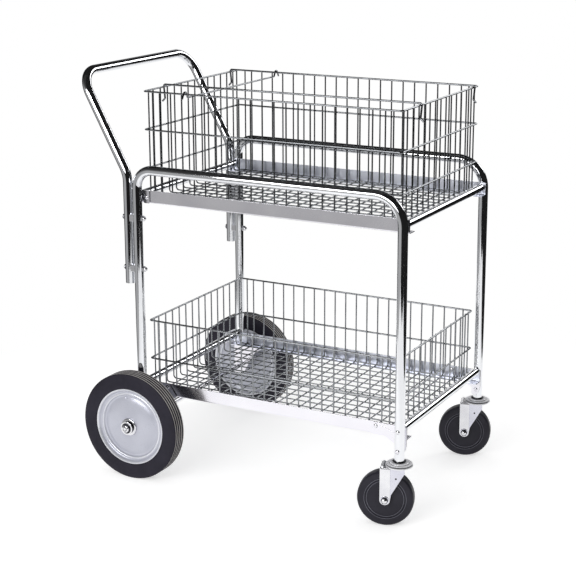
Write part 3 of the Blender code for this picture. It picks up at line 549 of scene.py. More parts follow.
class MaterialBench(NodeBench):
    """One material's nodes, with short ways to add what a finish needs."""

    noise_range = (0.3, 0.7)
    tint_stops = (0.32, 0.68)

    def __init__(self, name: str) -> None:
        """Start a material with a plain surface shader."""
        self.material = bpy.data.materials.new(name)
        self.material.use_nodes = True
        super().__init__(self.material.node_tree)
        self.shader = self.tree.nodes["Principled BSDF"]

    def set(self, **values: float | tuple[float, ...]) -> None:
        """Set constant values on the shader's own sockets, with spaces as underscores."""
        for name, value in values.items():
            self.shader.inputs[name.replace("_", " ")].default_value = value

    def grain(self, scale: float, stretch: Point = (1, 1, 1), detail: float = 4.0) -> bpy.types.NodeSocket:
        """Noise on the piece's own coordinates.

        Args:
            scale: How many grains go to a metre.
            stretch: How much finer the grain is along each axis.
            detail: How many finer layers it has.

        Returns:
            The noise's value, about one half in the middle.
        """
        place = self.add("TexCoord").outputs["Object"]
        turned = self.add("Mapping", {"Vector": place, "Scale": stretch}).outputs["Vector"]
        return self.add("TexNoise", {"Vector": turned, "Scale": scale, "Detail": detail}).outputs["Fac"]

    def spread(self, value: bpy.types.NodeSocket, low: float, high: float) -> bpy.types.NodeSocket:
        """Spread noise over a range of numbers."""
        least, most = self.noise_range
        ends = {"From Min": least, "From Max": most, "To Min": low, "To Max": high}
        return self.add("MapRange", {"Value": value, **ends}).outputs["Result"]

    def tint(self, value: bpy.types.NodeSocket, low: Point, high: Point) -> bpy.types.NodeSocket:
        """Blend two colours by noise."""
        ramp = self.add("ValToRGB", {"Fac": value})
        for index, colour in enumerate((low, high)):
            ramp.color_ramp.elements[index].position = self.tint_stops[index]
            ramp.color_ramp.elements[index].color = (*colour, 1)
        return ramp.outputs["Color"]

    def feed(self, socket: str, value: bpy.types.NodeSocket) -> None:
        """Link a value into one of the shader's sockets."""
        self.tree.links.new(value, self.shader.inputs[socket])

    def relief(self, *layers: tuple[bpy.types.NodeSocket, float, float]) -> None:
        """Stack bump layers into the shader's normal.

        Args:
            *layers: (height, strength, distance in metres) from the coarsest to the finest.
        """
        below: dict[str, bpy.types.NodeSocket] = {}
        for height, strength, distance in layers:
            bump = self.add("Bump", {"Height": height, "Strength": strength, "Distance": distance, **below})
            below = {"Normal": bump.outputs["Normal"]}
        self.feed("Normal", below["Normal"])


@dataclass(frozen=True)
class PlatedMetal:
    """Bright plating, or bare bright metal, with handling haze and fine polishing lines."""

    name: str
    slot: str
    dull: Point
    bright: Point
    smoothest: float
    roughest: float
    haze_scale: float = 9.0
    line_scale: float = 220.0
    line_stretch: Point = (1, 1, 0.06)
    line_depth: float = 0.000006

    def make(self) -> bpy.types.Material:
        """Build the material."""
        bench = MaterialBench(self.name)
        bench.set(Metallic=1.0)
        haze = bench.grain(self.haze_scale, detail=6)
        lines = bench.grain(self.line_scale, self.line_stretch, 3)
        bench.feed("Base Color", bench.tint(haze, self.dull, self.bright))
        bench.feed("Roughness", bench.spread(haze, self.smoothest, self.roughest))
        bench.relief((lines, 0.25, self.line_depth))
        return bench.material


@dataclass(frozen=True)
class SprayedPaint:
    """Silver paint, or soft pale plating: a metallic colour with slight orange peel under a clear gloss."""

    name: str
    slot: str
    dull: Point
    bright: Point
    metallic: float = 0.30

    def make(self) -> bpy.types.Material:
        """Build the material."""
        bench = MaterialBench(self.name)
        bench.set(Metallic=self.metallic, Coat_Weight=0.35, Coat_Roughness=0.08)
        cloud = bench.grain(14, detail=5)
        flake = bench.grain(900, detail=2)
        peel = bench.grain(260, detail=2)
        bench.feed("Base Color", bench.tint(cloud, self.dull, self.bright))
        bench.feed("Roughness", bench.spread(flake, 0.27, 0.36))
        bench.relief((peel, 0.2, 0.00003), (flake, 0.1, 0.00001))
        return bench.material


@dataclass(frozen=True)
class MouldedRubber:
    """Black rubber with a fine moulded skin and a little grey bloom."""

    name: str
    slot: str
    dark: Point
    bloom: Point
    smoothest: float
    roughest: float

    def make(self) -> bpy.types.Material:
        """Build the material."""
        bench = MaterialBench(self.name)
        bench.set(Metallic=0.0, Specular_IOR_Level=0.25)
        bloom = bench.grain(22, detail=6)
        skin = bench.grain(1400, detail=3)
        scuff = bench.grain(90, detail=4)
        bench.feed("Base Color", bench.tint(bloom, self.dark, self.bloom))
        bench.feed("Roughness", bench.spread(scuff, self.smoothest, self.roughest))
        bench.relief((scuff, 0.15, 0.0001), (skin, 0.25, 0.00005))
        return bench.material


class Band(NamedTuple):
    """Part of a turned piece: between two distances from its axis, and between two places along it."""

    low: float = -math.inf
    high: float = math.inf
    above: float = -math.inf
    below: float = math.inf

    def holds(self, reach: float, out: float) -> bool:
        """Whether a spot lies in the band."""
        return self.low < reach < self.high and self.above < out < self.below


class Finish(Enum):
    """The finishes on the cart."""

    CHROME_TUBE = PlatedMetal(
        "chrome_tube_plating", "chrome_tube", (0.76, 0.77, 0.80), (0.86, 0.87, 0.89), 0.035, 0.09
    )
    PRESSED_SHEET = PlatedMetal(
        "zinc_plated_sheet", "zinc_sheet", (0.80, 0.79, 0.84), (0.86, 0.85, 0.89), 0.16, 0.22,
        line_stretch=(0.05, 1, 1), line_depth=0.000004,
    )
    # Plated wire with its colour darkened well below the plating's own: painted dark reflection and shade on
    # every wire.
    BRIGHT_WIRE = PlatedMetal(
        "bright_basket_wire", "zinc_wire", (0.23, 0.24, 0.25), (0.33, 0.34, 0.36), 0.08, 0.14, haze_scale=40
    )
    BRIGHT_STEEL = PlatedMetal(
        "bright_plated_steel", "bright_fastener", (0.70, 0.70, 0.73), (0.82, 0.82, 0.84), 0.10, 0.20,
        haze_scale=30,
    )
    # The far angles' copy of the pressed sheet: rougher, and lighter and bluer in colour, which is painted
    # light for how light falls on the far side.
    HAZY_SHEET = PlatedMetal(
        "hazy_plated_sheet", "zinc_sheet", (0.84, 0.86, 0.95), (0.88, 0.90, 0.98), 0.30, 0.38,
        line_stretch=(0.05, 1, 1), line_depth=0.000004,
    )
    # Near-black for the end faces and rims of pressed sheet: painted shade lines along the edges.
    CUT_EDGE = PlatedMetal(
        "dark_cut_edge", "zinc_sheet", (0.050, 0.050, 0.056), (0.085, 0.085, 0.094), 0.30, 0.42, haze_scale=30
    )
    # Near-black steel: painted shade in the necks and grooves of the hub, axle caps, caster stem and raceway;
    # the caster axle's hexagon nuts are near-black in it as well.
    OILED_STEEL = PlatedMetal(
        "dark_oiled_steel", "bright_fastener", (0.030, 0.030, 0.034), (0.060, 0.060, 0.066), 0.26, 0.36,
        haze_scale=30,
    )
    RACEWAY = SprayedPaint("plated_raceway", "bright_fastener", (0.80, 0.80, 0.83), (0.88, 0.88, 0.90), 0.35)
    FORK_WEB = PlatedMetal(
        "plated_fork_web", "bright_fastener", (0.62, 0.62, 0.70), (0.70, 0.70, 0.77), 0.16, 0.24,
        haze_scale=30,
    )
    WHEEL_PAINT = SprayedPaint("silver_wheel_paint", "silver_paint", (0.45, 0.46, 0.53), (0.53, 0.54, 0.61))
    # Brighter paint on the rim's lip and bead: painted highlight rings.
    RIM_PAINT = SprayedPaint("bright_rim_paint", "silver_paint", (0.70, 0.71, 0.76), (0.80, 0.81, 0.85), 0.45)
    TYRE_RUBBER = MouldedRubber(
        "black_tyre_rubber", "tyre_rubber", (0.010, 0.009, 0.017), (0.017, 0.015, 0.026), 0.50, 0.64
    )
    # Light grey on the crests of the tread ribs.
    LIGHT_GREY_RIB_CREST = MouldedRubber(
        "light_grey_rib_crests", "tyre_rubber", (0.36, 0.34, 0.33), (0.48, 0.46, 0.44), 0.36, 0.48
    )
    CASTER_RUBBER = MouldedRubber(
        "black_caster_tread", "caster_rubber", (0.013, 0.012, 0.019), (0.022, 0.021, 0.030), 0.34, 0.48
    )
    # Lighter grey on the two raised rings of each caster wheel's face.
    LIGHT_CASTER_RING = MouldedRubber(
        "light_grey_caster_rings", "caster_rubber", (0.09, 0.09, 0.11), (0.15, 0.15, 0.18), 0.30, 0.42
    )

    @property
    def material(self) -> bpy.types.Material:
        """This finish's material, made once and shared."""
        return bpy.data.materials.get(self.value.name) or self.value.make()

    def dress(self, piece: bpy.types.Object) -> None:
        """Give a whole piece this finish."""
        piece.data.materials.clear()
        piece.data.materials.append(self.material)

    def _dress_if(self, piece: bpy.types.Object, chosen: Callable[[bpy.types.MeshPolygon], bool]) -> None:
        """Give the faces that pass a test this finish, beside the piece's main one."""
        piece.data.materials.append(self.material)
        for face in piece.data.polygons:
            if chosen(face):
                face.material_index = 1

    def dress_bands(self, piece: bpy.types.Object, place: Matrix, *bands: Band) -> None:
        """Give bands of a turned piece this finish.

        Args:
            piece: The piece, which already has its main finish.
            place: Where the piece's own axis lies.
            *bands: The bands that get it.
        """
        to_axis = place.inverted()

        def in_band(face: bpy.types.MeshPolygon) -> bool:
            """Whether the middle of a face lies in one of the bands."""
            spot = to_axis @ face.center
            return any(band.holds(math.hypot(spot.x, spot.y), spot.z) for band in bands)

        self._dress_if(piece, in_band)

    def dress_ends(self, bar: bpy.types.Object) -> None:
        """Give the cut ends of a strip that lies along the cart this finish."""
        self._dress_if(bar, lambda face: abs(face.normal.x) > END_LEAN)

    def dress_rims(self, plate: bpy.types.Object) -> None:
        """Give the cut edges of an upright plate this finish: the faces that don't look across the cart."""
        self._dress_if(plate, lambda face: abs(face.normal.y) < RIM_LEAN)


def settle(piece: bpy.types.Object, body: str, finish: Finish, *nodes: str) -> None:
    """Put a dressed piece on its body and let it stand for solids.

    Args:
        piece: The dressed piece.
        body: The body that it rides on.
        finish: Its main finish; not used.
        *nodes: The solids that it stands for.
    """
    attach(piece, body)
    if nodes:
        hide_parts(*nodes)
    LOG.info("%s rides on %s, %d faces", piece.name, body, len(piece.data.polygons))


def seat(piece: bpy.types.Object, body: str, finish: Finish, *nodes: str) -> None:
    """Dress a whole piece in one finish and settle it on its body."""
    finish.dress(piece)
    settle(piece, body, finish, *nodes)


@dataclass
class SideFrames:
    """The two bent side tubes: front leg, top rail and rear leg in one."""

    rail_height: float = 0.7265
    front_bend: float = 0.064
    rear_bend: float = 0.042
    below_axle: float = 0.019
    wall: float = 0.0015

    def build(self) -> None:
        """Bend and dress both side tubes."""
        for side in Side:
            y = side.value * CART.leg_y
            corners = [
                (CART.front_x, y, CART.front_leg_end), (CART.front_x, y, self.rail_height),
                (CART.rear_x, y, self.rail_height), (CART.rear_x, y, CART.axle_height - self.below_axle),
            ]
            name = f"side_tube_{side.word}"
            bends = (self.front_bend, self.rear_bend)
            tube = BentBar(name, corners, bends, CART.tube_radius, TUBE_SIDES, TUBE_STEPS, self.wall).build()
            seat(tube, Body.FRAME.value, Finish.CHROME_TUBE, f"side_frame_{side.word}")


@dataclass
class PushHandle:
    """The handle's bent tube, its through bolts, cap nuts and saddle spacers."""

    tube_radius: float = 0.01085
    end_height: float = 0.458
    bend: float = 0.070
    corner: float = 0.055
    wall: float = 0.0015
    bolt_heights: dict[str, float] = field(default_factory=lambda: {"lower": 0.4945, "upper": 0.6135})
    bolt_radius: float = 0.0032
    head_radius: float = 0.0065
    head_height: float = 0.0038
    nut_radius: float = 0.0066
    nut_length: float = 0.0105
    spacer_width: float = 0.0085
    spacer_height: float = 0.016

    def build(self) -> None:
        """Build and dress the handle and what fixes it."""
        self._build_tube()
        for side in Side:
            for level, height in self.bolt_heights.items():
                self._build_bolt(side, level, height)
                self._build_nut(side, level, height)
                self._build_spacer(side, level, height)

    def _build_tube(self) -> None:
        """Bend the handle from one tube."""
        top_x = CART.handle_x - CART.handle_reach
        half = [
            (CART.handle_x, CART.leg_y, self.end_height),
            (CART.handle_x, CART.leg_y, CART.handle_bend_height),
            (top_x, CART.leg_y, CART.handle_top_height),
        ]
        corners = [(x, -y, z) for x, y, z in half] + half[::-1]
        bends = (self.bend, self.corner, self.corner, self.bend)
        cut = (TUBE_SIDES, TUBE_STEPS, self.wall)
        tube = BentBar("handle_tube", corners, bends, self.tube_radius, *cut).build()
        seat(tube, Body.FRAME.value, Finish.CHROME_TUBE, "push_handle")

    def _build_bolt(self, side: Side, level: str, height: float) -> None:
        """Turn one through bolt, its round head behind the handle."""
        face = CART.handle_x - CART.tube_radius - CART.gap
        tip = CART.rear_x + CART.tube_radius + 0.006 - face
        head, crown = self.head_radius, self.head_height
        profile = [
            (0, tip), (self.bolt_radius * 0.7, tip), (self.bolt_radius, tip - 0.001),
            (self.bolt_radius, 0), (head * 0.97, 0), (head, -crown * 0.15), (head * 0.93, -crown * 0.45),
            (head * 0.72, -crown * 0.78), (head * 0.40, -crown * 0.96), (0, -crown),
        ]
        place = facing(face, side.value * CART.leg_y, height, (1, 0, 0))
        bolt = turn_piece(f"through_bolt_{level}_{side.word}", profile, place)
        seat(bolt, Body.FRAME.value, Finish.BRIGHT_STEEL, f"handle_bolt_{level}_{side.word}")

    def _build_nut(self, side: Side, level: str, height: float) -> None:
        """Make one cap nut: a six-sided skirt and a turned dome."""
        place = facing(CART.rear_x + CART.tube_radius + CART.gap, side.value * CART.leg_y, height, (1, 0, 0))
        radius, length = self.nut_radius, self.nut_length
        skirt = [(self.bolt_radius, 0), (radius * 0.93, 0), (radius, 0.0006), (radius, length * 0.5)]
        skirt += [(radius * 0.9, length * 0.56), (self.bolt_radius, length * 0.56)]
        nut = turn_piece("nut_skirt", skirt, place, sides=6, ring=True)
        inner = radius * math.cos(math.pi / 6)
        dome = [(0, length)] + [
            (inner * 0.92 * math.sin(turn), length * (0.5 + 0.5 * math.cos(turn)))
            for turn in (math.radians(degrees) for degrees in (20, 40, 60, 80, 90))
        ]
        cap = turn_piece("nut_dome", dome + [(0, length * 0.5)], place, sides=24)
        nut = join(f"acorn_nut_{level}_{side.word}", [cap, nut])
        seat(nut, Body.FRAME.value, Finish.BRIGHT_STEEL, f"cap_nut_{level}_{side.word}")

    def _build_spacer(self, side: Side, level: str, height: float) -> None:
        """Shape one spacer, hollowed by both tubes."""
        middle = (CART.handle_x + CART.rear_x) / 2
        half_length = (CART.handle_setback - CART.tube_radius) / 2
        width, half_height = self.spacer_width, self.spacer_height / 2
        y = side.value * CART.leg_y
        outline = [(-half_length, -width), (half_length, -width), (half_length, width), (-half_length, width)]
        place = Matrix.Translation((middle, y, height - half_height))
        spacer = cut_plate("saddle", outline, self.spacer_height, place, edge=0.0006)
        for x in (CART.handle_x, CART.rear_x):
            drill(spacer, CART.tube_radius + 0.0001, 2 * self.spacer_height, facing(x, y, height))
        rename(spacer, f"saddle_spacer_{level}_{side.word}")
        seat(smooth(spacer), Body.FRAME.value, Finish.BRIGHT_STEEL, f"handle_spacer_{level}_{side.word}")


@dataclass
class Shelf:
    """One shelf of the frame: two folded angles and two cross tubes."""

    level: str
    base: float
    face: float
    tube_rise: float
    ledge: float = 0.025
    past_leg: float = 0.0105
    fold: float = 0.0025
    tube_radius: float = 0.0095
    tube_wall: float = 0.0017

    def build(self) -> None:
        """Build and dress the shelf."""
        for side in Side:
            self._build_angle(side)
        for end, x in {"front": CART.front_x, "rear": CART.rear_x}.items():
            half = self.face - CART.sheet - CART.gap
            ends = [(x, -half, self.base + self.tube_rise), (x, half, self.base + self.tube_rise)]
            name = f"cross_bar_{self.level}_{end}"
            tube = BentBar(name, ends, (), self.tube_radius, sides=32, steps=2, wall=self.tube_wall).build()
            seat(tube, Body.FRAME.value, Finish.CHROME_TUBE, f"cross_tube_{self.level}_{end}")

    def _build_angle(self, side: Side) -> None:
        """Fold one angle: an upright leaf outside and a ledge inside."""
        half_sheet = CART.sheet / 2
        outer = self.face - half_sheet
        inner = self.face - self.ledge
        low = self.base + half_sheet
        section = [(outer, self.base + CART.angle_height), (outer, low), (inner, low)]
        section = [(side.value * y, z) for y, z in section]
        start = CART.rear_x - self.past_leg
        length = CART.wheelbase + 2 * self.past_leg
        name = f"folded_angle_{self.level}_{side.word}"
        angle = fold_sheet(name, section, self.fold, start, length, CART.sheet)
        # The far side's angles take the lighter, bluer copy of the sheet: painted light on that side.
        finish = Finish.HAZY_SHEET if side is Side.FAR else Finish.PRESSED_SHEET
        seat(angle, Body.FRAME.value, finish, f"shelf_angle_{self.level}_{side.word}")
        # Painted shade: the angle's end faces go near-black.
        Finish.CUT_EDGE.dress_ends(angle)


@dataclass
class LegPlates:
    """The plates that tie the legs to the shelf angles, and all rivets."""

    rivet_radius: float = 0.0026
    head_radius: float = 0.0050
    crown: float = 0.0024
    angle_rivet_reach: float = 0.062
    angle_rivet_drop: float = 0.0085
    leg_rivet_drops: tuple[float, float] = (0.0060, 0.0503)
    corner_width: float = 0.0155

    @property
    def top(self) -> float:
        """The top of the lower shelf angles."""
        return CART.lower_shelf + CART.angle_height

    def build(self) -> None:
        """Build and dress the plates and rivets of both sides."""
        for side in Side:
            self._build_gusset(side)
            self._build_axle_plate(side)
            self._build_corner_plate(side)
            self._build_angle_rivets(side)

    def _plate(self, name: str, outline: Profile, side: Side, face: float, corner: float) -> bpy.types.Object:
        """Cut one upright plate whose outer face lies at a distance from the cart's middle."""
        y = face if side is Side.FAR else -face + CART.sheet
        return cut_plate(name, outline, CART.sheet, upright(y), corner)

    def _rivet(
        self, name: str, x: float, z: float, side: Side, inner: float, outer: float
    ) -> bpy.types.Object:
        """Turn one rivet with a low domed head on each side.

        Args:
            name: The rivet's name.
            x: Its place along the cart.
            z: Its height.
            side: The side of the cart that it is on.
            inner: Where its inner head bears, from the cart's middle.
            outer: Where its outer head bears, from the cart's middle.

        Returns:
            The rivet.
        """
        grip = outer - inner
        arc = [(1, 0), (0.94, 0.36), (0.80, 0.66), (0.55, 0.88), (0.28, 0.98), (0, 1)]
        head = [(self.head_radius * radius, self.crown * rise) for radius, rise in arc]
        profile = [(radius, grip + rise) for radius, rise in reversed(head)]
        profile += [(self.rivet_radius, grip), (self.rivet_radius, 0)]
        profile += [(radius, -rise) for radius, rise in head]
        return turn_piece(name, profile, facing(x, side.value * inner, z, (0, side.value, 0)), sides=24)

    def _build_gusset(self, side: Side) -> None:
        """Cut the front gusset with its pressed diagonal and lower rivet."""
        x, radius = CART.front_x, CART.tube_radius
        outline = [
            (x - 0.073, self.top), (x - 0.073, CART.lower_shelf + 0.001),
            (x - 0.0405, CART.lower_shelf + 0.001), (x - radius, 0.1745), (x - radius, 0.158),
            (x + 0.0020, 0.158), (x + 0.0080, 0.166), (x + radius, 0.178), (x + radius, self.top),
        ]
        gusset = self._plate("gusset", outline, side, CART.plate_face, 0.003)
        brace = [(x - 0.066, self.top - 0.003), (x - 0.066, self.top - 0.014), (x - 0.036, 0.2005)]
        brace += [(x - radius - 0.0005, 0.1805), (x - radius - 0.0005, 0.2015), (x - 0.038, 0.2125)]
        y = CART.plate_face + 0.0004
        raised = cut_plate("brace", brace, 0.0008, upright(y if side is Side.FAR else -y + 0.0008), 0.002)
        lower = self.top - self.leg_rivet_drops[1]
        inner, outer = CART.plate_face - CART.sheet, CART.leg_y + radius
        rivet = self._rivet("rivet", x, lower, side, inner, outer)
        Finish.PRESSED_SHEET.dress(gusset)
        # Painted shade: the gusset's rims go near-black.
        Finish.CUT_EDGE.dress_rims(gusset)
        for part in (raised, rivet):
            Finish.PRESSED_SHEET.dress(part)
        gusset = join(f"front_leg_gusset_{side.word}", [raised, rivet, gusset])
        settle(gusset, Body.FRAME.value, Finish.PRESSED_SHEET, f"front_gusset_{side.word}")

    def _build_axle_plate(self, side: Side) -> None:
        """Cut the plate from the lower angle down to the axle."""
        x, radius, foot = CART.rear_x, CART.tube_radius, CART.axle_height - 0.019
        outline = [
            (x - radius, self.top), (x - radius, foot), (x + 0.015, foot), (x + 0.050, 0.170),
            (x + 0.0875, CART.lower_shelf + 0.001), (x + 0.067, self.top),
        ]
        plate = self._plate(f"rear_axle_plate_{side.word}", outline, side, CART.plate_face, 0.004)
        seat(plate, Body.FRAME.value, Finish.PRESSED_SHEET, f"axle_plate_{side.word}")
        # Painted shade: the axle plate's rims go near-black.
        Finish.CUT_EDGE.dress_rims(plate)

    def _build_corner_plate(self, side: Side) -> None:
        """Cut the small plate beside the rear leg on the upper angle, with its rivet."""
        inner_x = CART.rear_x + CART.tube_radius + CART.gap
        low, high = CART.upper_shelf, CART.upper_shelf + CART.angle_height
        outer = CART.plate_face + CART.gap + CART.sheet
        outer_x = inner_x + self.corner_width
        outline = [(inner_x, low), (outer_x, low), (outer_x, high), (inner_x, high)]
        plate = self._plate("corner", outline, side, outer, 0.002)
        middle = inner_x + self.corner_width / 2
        rivet = self._rivet("rivet", middle, low + 0.014, side, outer - 0.001, outer)
        plate = join(f"rear_corner_plate_{side.word}", [rivet, plate])
        seat(plate, Body.FRAME.value, Finish.PRESSED_SHEET, f"corner_plate_{side.word}")

    def _build_angle_rivets(self, side: Side) -> None:
        """Set the loose rivets: plate to angle front and rear, and the front leg's upper one."""
        inner = CART.lower_angle_face - CART.sheet
        height = self.top - self.angle_rivet_drop
        reach = self.angle_rivet_reach
        for end, x in {"front": CART.front_x - reach, "rear": CART.rear_x + reach}.items():
            rivet = self._rivet(f"plate_rivet_{end}_{side.word}", x, height, side, inner, CART.plate_face)
            seat(rivet, Body.FRAME.value, Finish.BRIGHT_STEEL, f"angle_rivet_{end}_{side.word}")
        height = self.top - self.leg_rivet_drops[0]
        outer = CART.leg_y + CART.tube_radius
        rivet = self._rivet(f"leg_rivet_{side.word}", CART.front_x, height, side, inner, outer)
        seat(rivet, Body.FRAME.value, Finish.BRIGHT_STEEL, f"leg_rivet_upper_{side.word}")


@dataclass
class RearWheels:
    """The rear axle with its caps, and the two wheels on it."""

    radius: float = 0.127
    half_width: float = 0.0205
    offset: float = 0.269
    hub_radius: float = 0.0130
    hub_end: float = 0.0290
    axle_radius: float = 0.00635
    past_hub: float = 0.006
    rib_count: int = 5
    rib_pitch: float = 0.0078
    rib_width: float = 0.0026
    rib_height: float = 0.0012

    def build(self) -> None:
        """Build and dress the axle and both wheels."""
        half = self.offset + self.hub_end + self.past_hub
        ends = [(CART.rear_x, -half, CART.axle_height), (CART.rear_x, half, CART.axle_height)]
        axle = soften_edges(BentBar("axle_rod", ends, (), self.axle_radius, sides=32).build(), 0.0008)
        seat(smooth(axle), Body.FRAME.value, Finish.BRIGHT_STEEL, "rear_axle")
        for side in Side:
            self._build_tyre(side)
            self._build_rims(side)
            self._build_hub(side)
            self._build_cap(side)

    def _place(self, side: Side, out: int = 1) -> Matrix:
        """The wheel's middle, its local Z axis pointing away from the cart, or towards it."""
        y = side.value * self.offset
        return facing(CART.rear_x, y, CART.axle_height, (0, side.value * out, 0))

    def _build_tyre(self, side: Side) -> None:
        """Mould the tyre: plain sidewalls, a shoulder line and a ribbed tread."""
        radius, half = self.radius, self.half_width
        wall = [
            (0.0800, 0.0076), (0.0900, 0.0160), (0.0913, 0.0172), (0.0916, half * 0.93),
            (0.0935, half * 0.985), (0.0985, half), (0.1110, half * 0.995), (0.1175, half * 0.975),
            (0.1198, half * 0.955), (0.1232, half * 0.93), (0.1252, half * 0.90),
        ]
        groove = radius - self.rib_height
        crest = self.rib_width / 2
        foot = crest + self.rib_height / 2
        tread = []
        for rib in reversed(range(self.rib_count)):
            middle = (rib - (self.rib_count - 1) / 2) * self.rib_pitch
            tread += [(groove, middle + foot), (radius, middle + crest)]
            tread += [(radius, middle - crest), (groove, middle - foot)]
        section = wall + tread + [(place, -out) for place, out in reversed(wall)]
        tyre = turn_piece(f"ribbed_tyre_{side.word}", section, self._place(side), sides=96, ring=True)
        seat(tyre, Body.REAR_WHEEL.on(side), Finish.TYRE_RUBBER, f"rear_tyre_{side.word}")
        # The outermost part of each rib is light grey.
        crest_start = radius - self.rib_height / 4
        Finish.LIGHT_GREY_RIB_CREST.dress_bands(tyre, self._place(side), Band(low=crest_start))

    def _build_rims(self, side: Side) -> None:
        """Press the two rim halves: rolled lip, deep step, bead and domed middle, with one dimple outside."""
        outer_face = [
            (0.0909, 0.0180), (0.0912, 0.0192), (0.0904, 0.0199), (0.0890, 0.0199), (0.0880, 0.0192),
            (0.0868, 0.0172), (0.0852, 0.0150), (0.0834, 0.0134), (0.0812, 0.0126), (0.0796, 0.0126),
            (0.0786, 0.0132), (0.0775, 0.0135), (0.0764, 0.0130), (0.0752, 0.0116), (0.0740, 0.0100),
            (0.0720, 0.0094), (0.0700, 0.0096), (0.0675, 0.0107), (0.0640, 0.0122), (0.0600, 0.0134),
            (0.0540, 0.0147), (0.0420, 0.0166), (0.0300, 0.0180), (0.0200, 0.0186),
            (self.hub_radius + CART.gap, 0.0188),
        ]
        sheet = 0.0014
        section = outer_face + [(radius, out - sheet) for radius, out in reversed(outer_face)]
        # Painted highlight: the lip and the bead get the brighter paint.
        painted = (Band(low=0.0868), Band(0.0764, 0.0796))
        for face, out in {"outer": 1, "inner": -1}.items():
            rim = turn_piece("rim", section, self._place(side, out), sides=96, ring=True)
            if face == "outer":
                rim = join("rim", [self._dimple(side), rim])
            rename(rim, f"pressed_rim_{face}_{side.word}")
            seat(rim, Body.REAR_WHEEL.on(side), Finish.WHEEL_PAINT, f"rear_rim_{face}_{side.word}")
            Finish.RIM_PAINT.dress_bands(rim, self._place(side), *painted)

    def _dimple(self, side: Side) -> bpy.types.Object:
        """Turn the small pressed pip near the top of the outer rim."""
        lean = math.radians(12)
        reach = 0.066
        x = CART.rear_x - reach * math.sin(lean)
        z = CART.axle_height + reach * math.cos(lean)
        profile = [(0.0042, 0), (0.0038, 0.0009), (0.0026, 0.0016), (0.0012, 0.0019), (0, 0.0020)]
        y = side.value * (self.offset + 0.0105)
        return turn_piece("pip", profile, facing(x, y, z, (0, side.value, 0)), sides=24)

    def _build_hub(self, side: Side) -> None:
        """Turn the hub: a barrel through the wheel with a pressed collar on the disc."""
        leg_face = CART.leg_y + CART.tube_radius
        low = leg_face + CART.gap - self.offset
        bore, hub, end = self.axle_radius + 0.0004, self.hub_radius, self.hub_end
        section = [
            (bore, end - 0.0010), (bore + 0.0008, end), (hub - 0.0022, end), (hub - 0.0012, end - 0.0008),
            (hub - 0.0012, 0.0276), (0.0118, 0.0272), (0.0114, 0.0236), (0.0150, 0.0232), (0.0190, 0.0226),
            (0.0202, 0.0216), (0.0204, 0.0192), (hub, 0.0190), (hub, low + 0.0005), (hub - 0.0005, low),
            (bore, low),
        ]
        hub_piece = turn_piece(f"wheel_hub_{side.word}", section, self._place(side), sides=48, ring=True)
        seat(hub_piece, Body.REAR_WHEEL.on(side), Finish.BRIGHT_STEEL, f"rear_hub_{side.word}")
        # Painted shade: the hub's neck between collar and washer, out to its end, goes near-black.
        Finish.OILED_STEEL.dress_bands(hub_piece, self._place(side), Band(high=0.0160, above=0.0230))

    def _build_cap(self, side: Side) -> None:
        """Turn the washer and push-on cap at the axle's end."""
        bore, inside, thick = self.axle_radius + 0.0003, self.past_hub, 0.0018
        top = inside + 0.0024
        profile = [
            (0, top), (0.0036, top), (0.0040, top - 0.0006), (0.0048, top - 0.0006), (0.0054, top),
            (0.0072, top - 0.0003), (0.0084, top - 0.0012), (0.0090, top - 0.0026),
            (0.0092, thick - 0.0004), (0.0122, thick - 0.0004), (0.0126, thick), (0.0152, thick),
            (0.0158, thick - 0.0004), (0.0160, thick - 0.0010), (0.0156, 0), (bore, 0), (bore, inside),
            (0, inside),
        ]
        y = side.value * (self.offset + self.hub_end + CART.gap)
        place = facing(CART.rear_x, y, CART.axle_height, (0, side.value, 0))
        cap = turn_piece(f"axle_end_cap_{side.word}", profile, place, sides=40)
        seat(cap, Body.FRAME.value, Finish.BRIGHT_STEEL, f"axle_cap_{side.word}")
        # Painted shade: the washer's face round the cap and the groove on the cap's top go near-black.
        rings = (Band(0.0092, 0.0126, above=0.0010), Band(0.0037, 0.0050, above=inside))
        Finish.OILED_STEEL.dress_bands(cap, place, *rings)


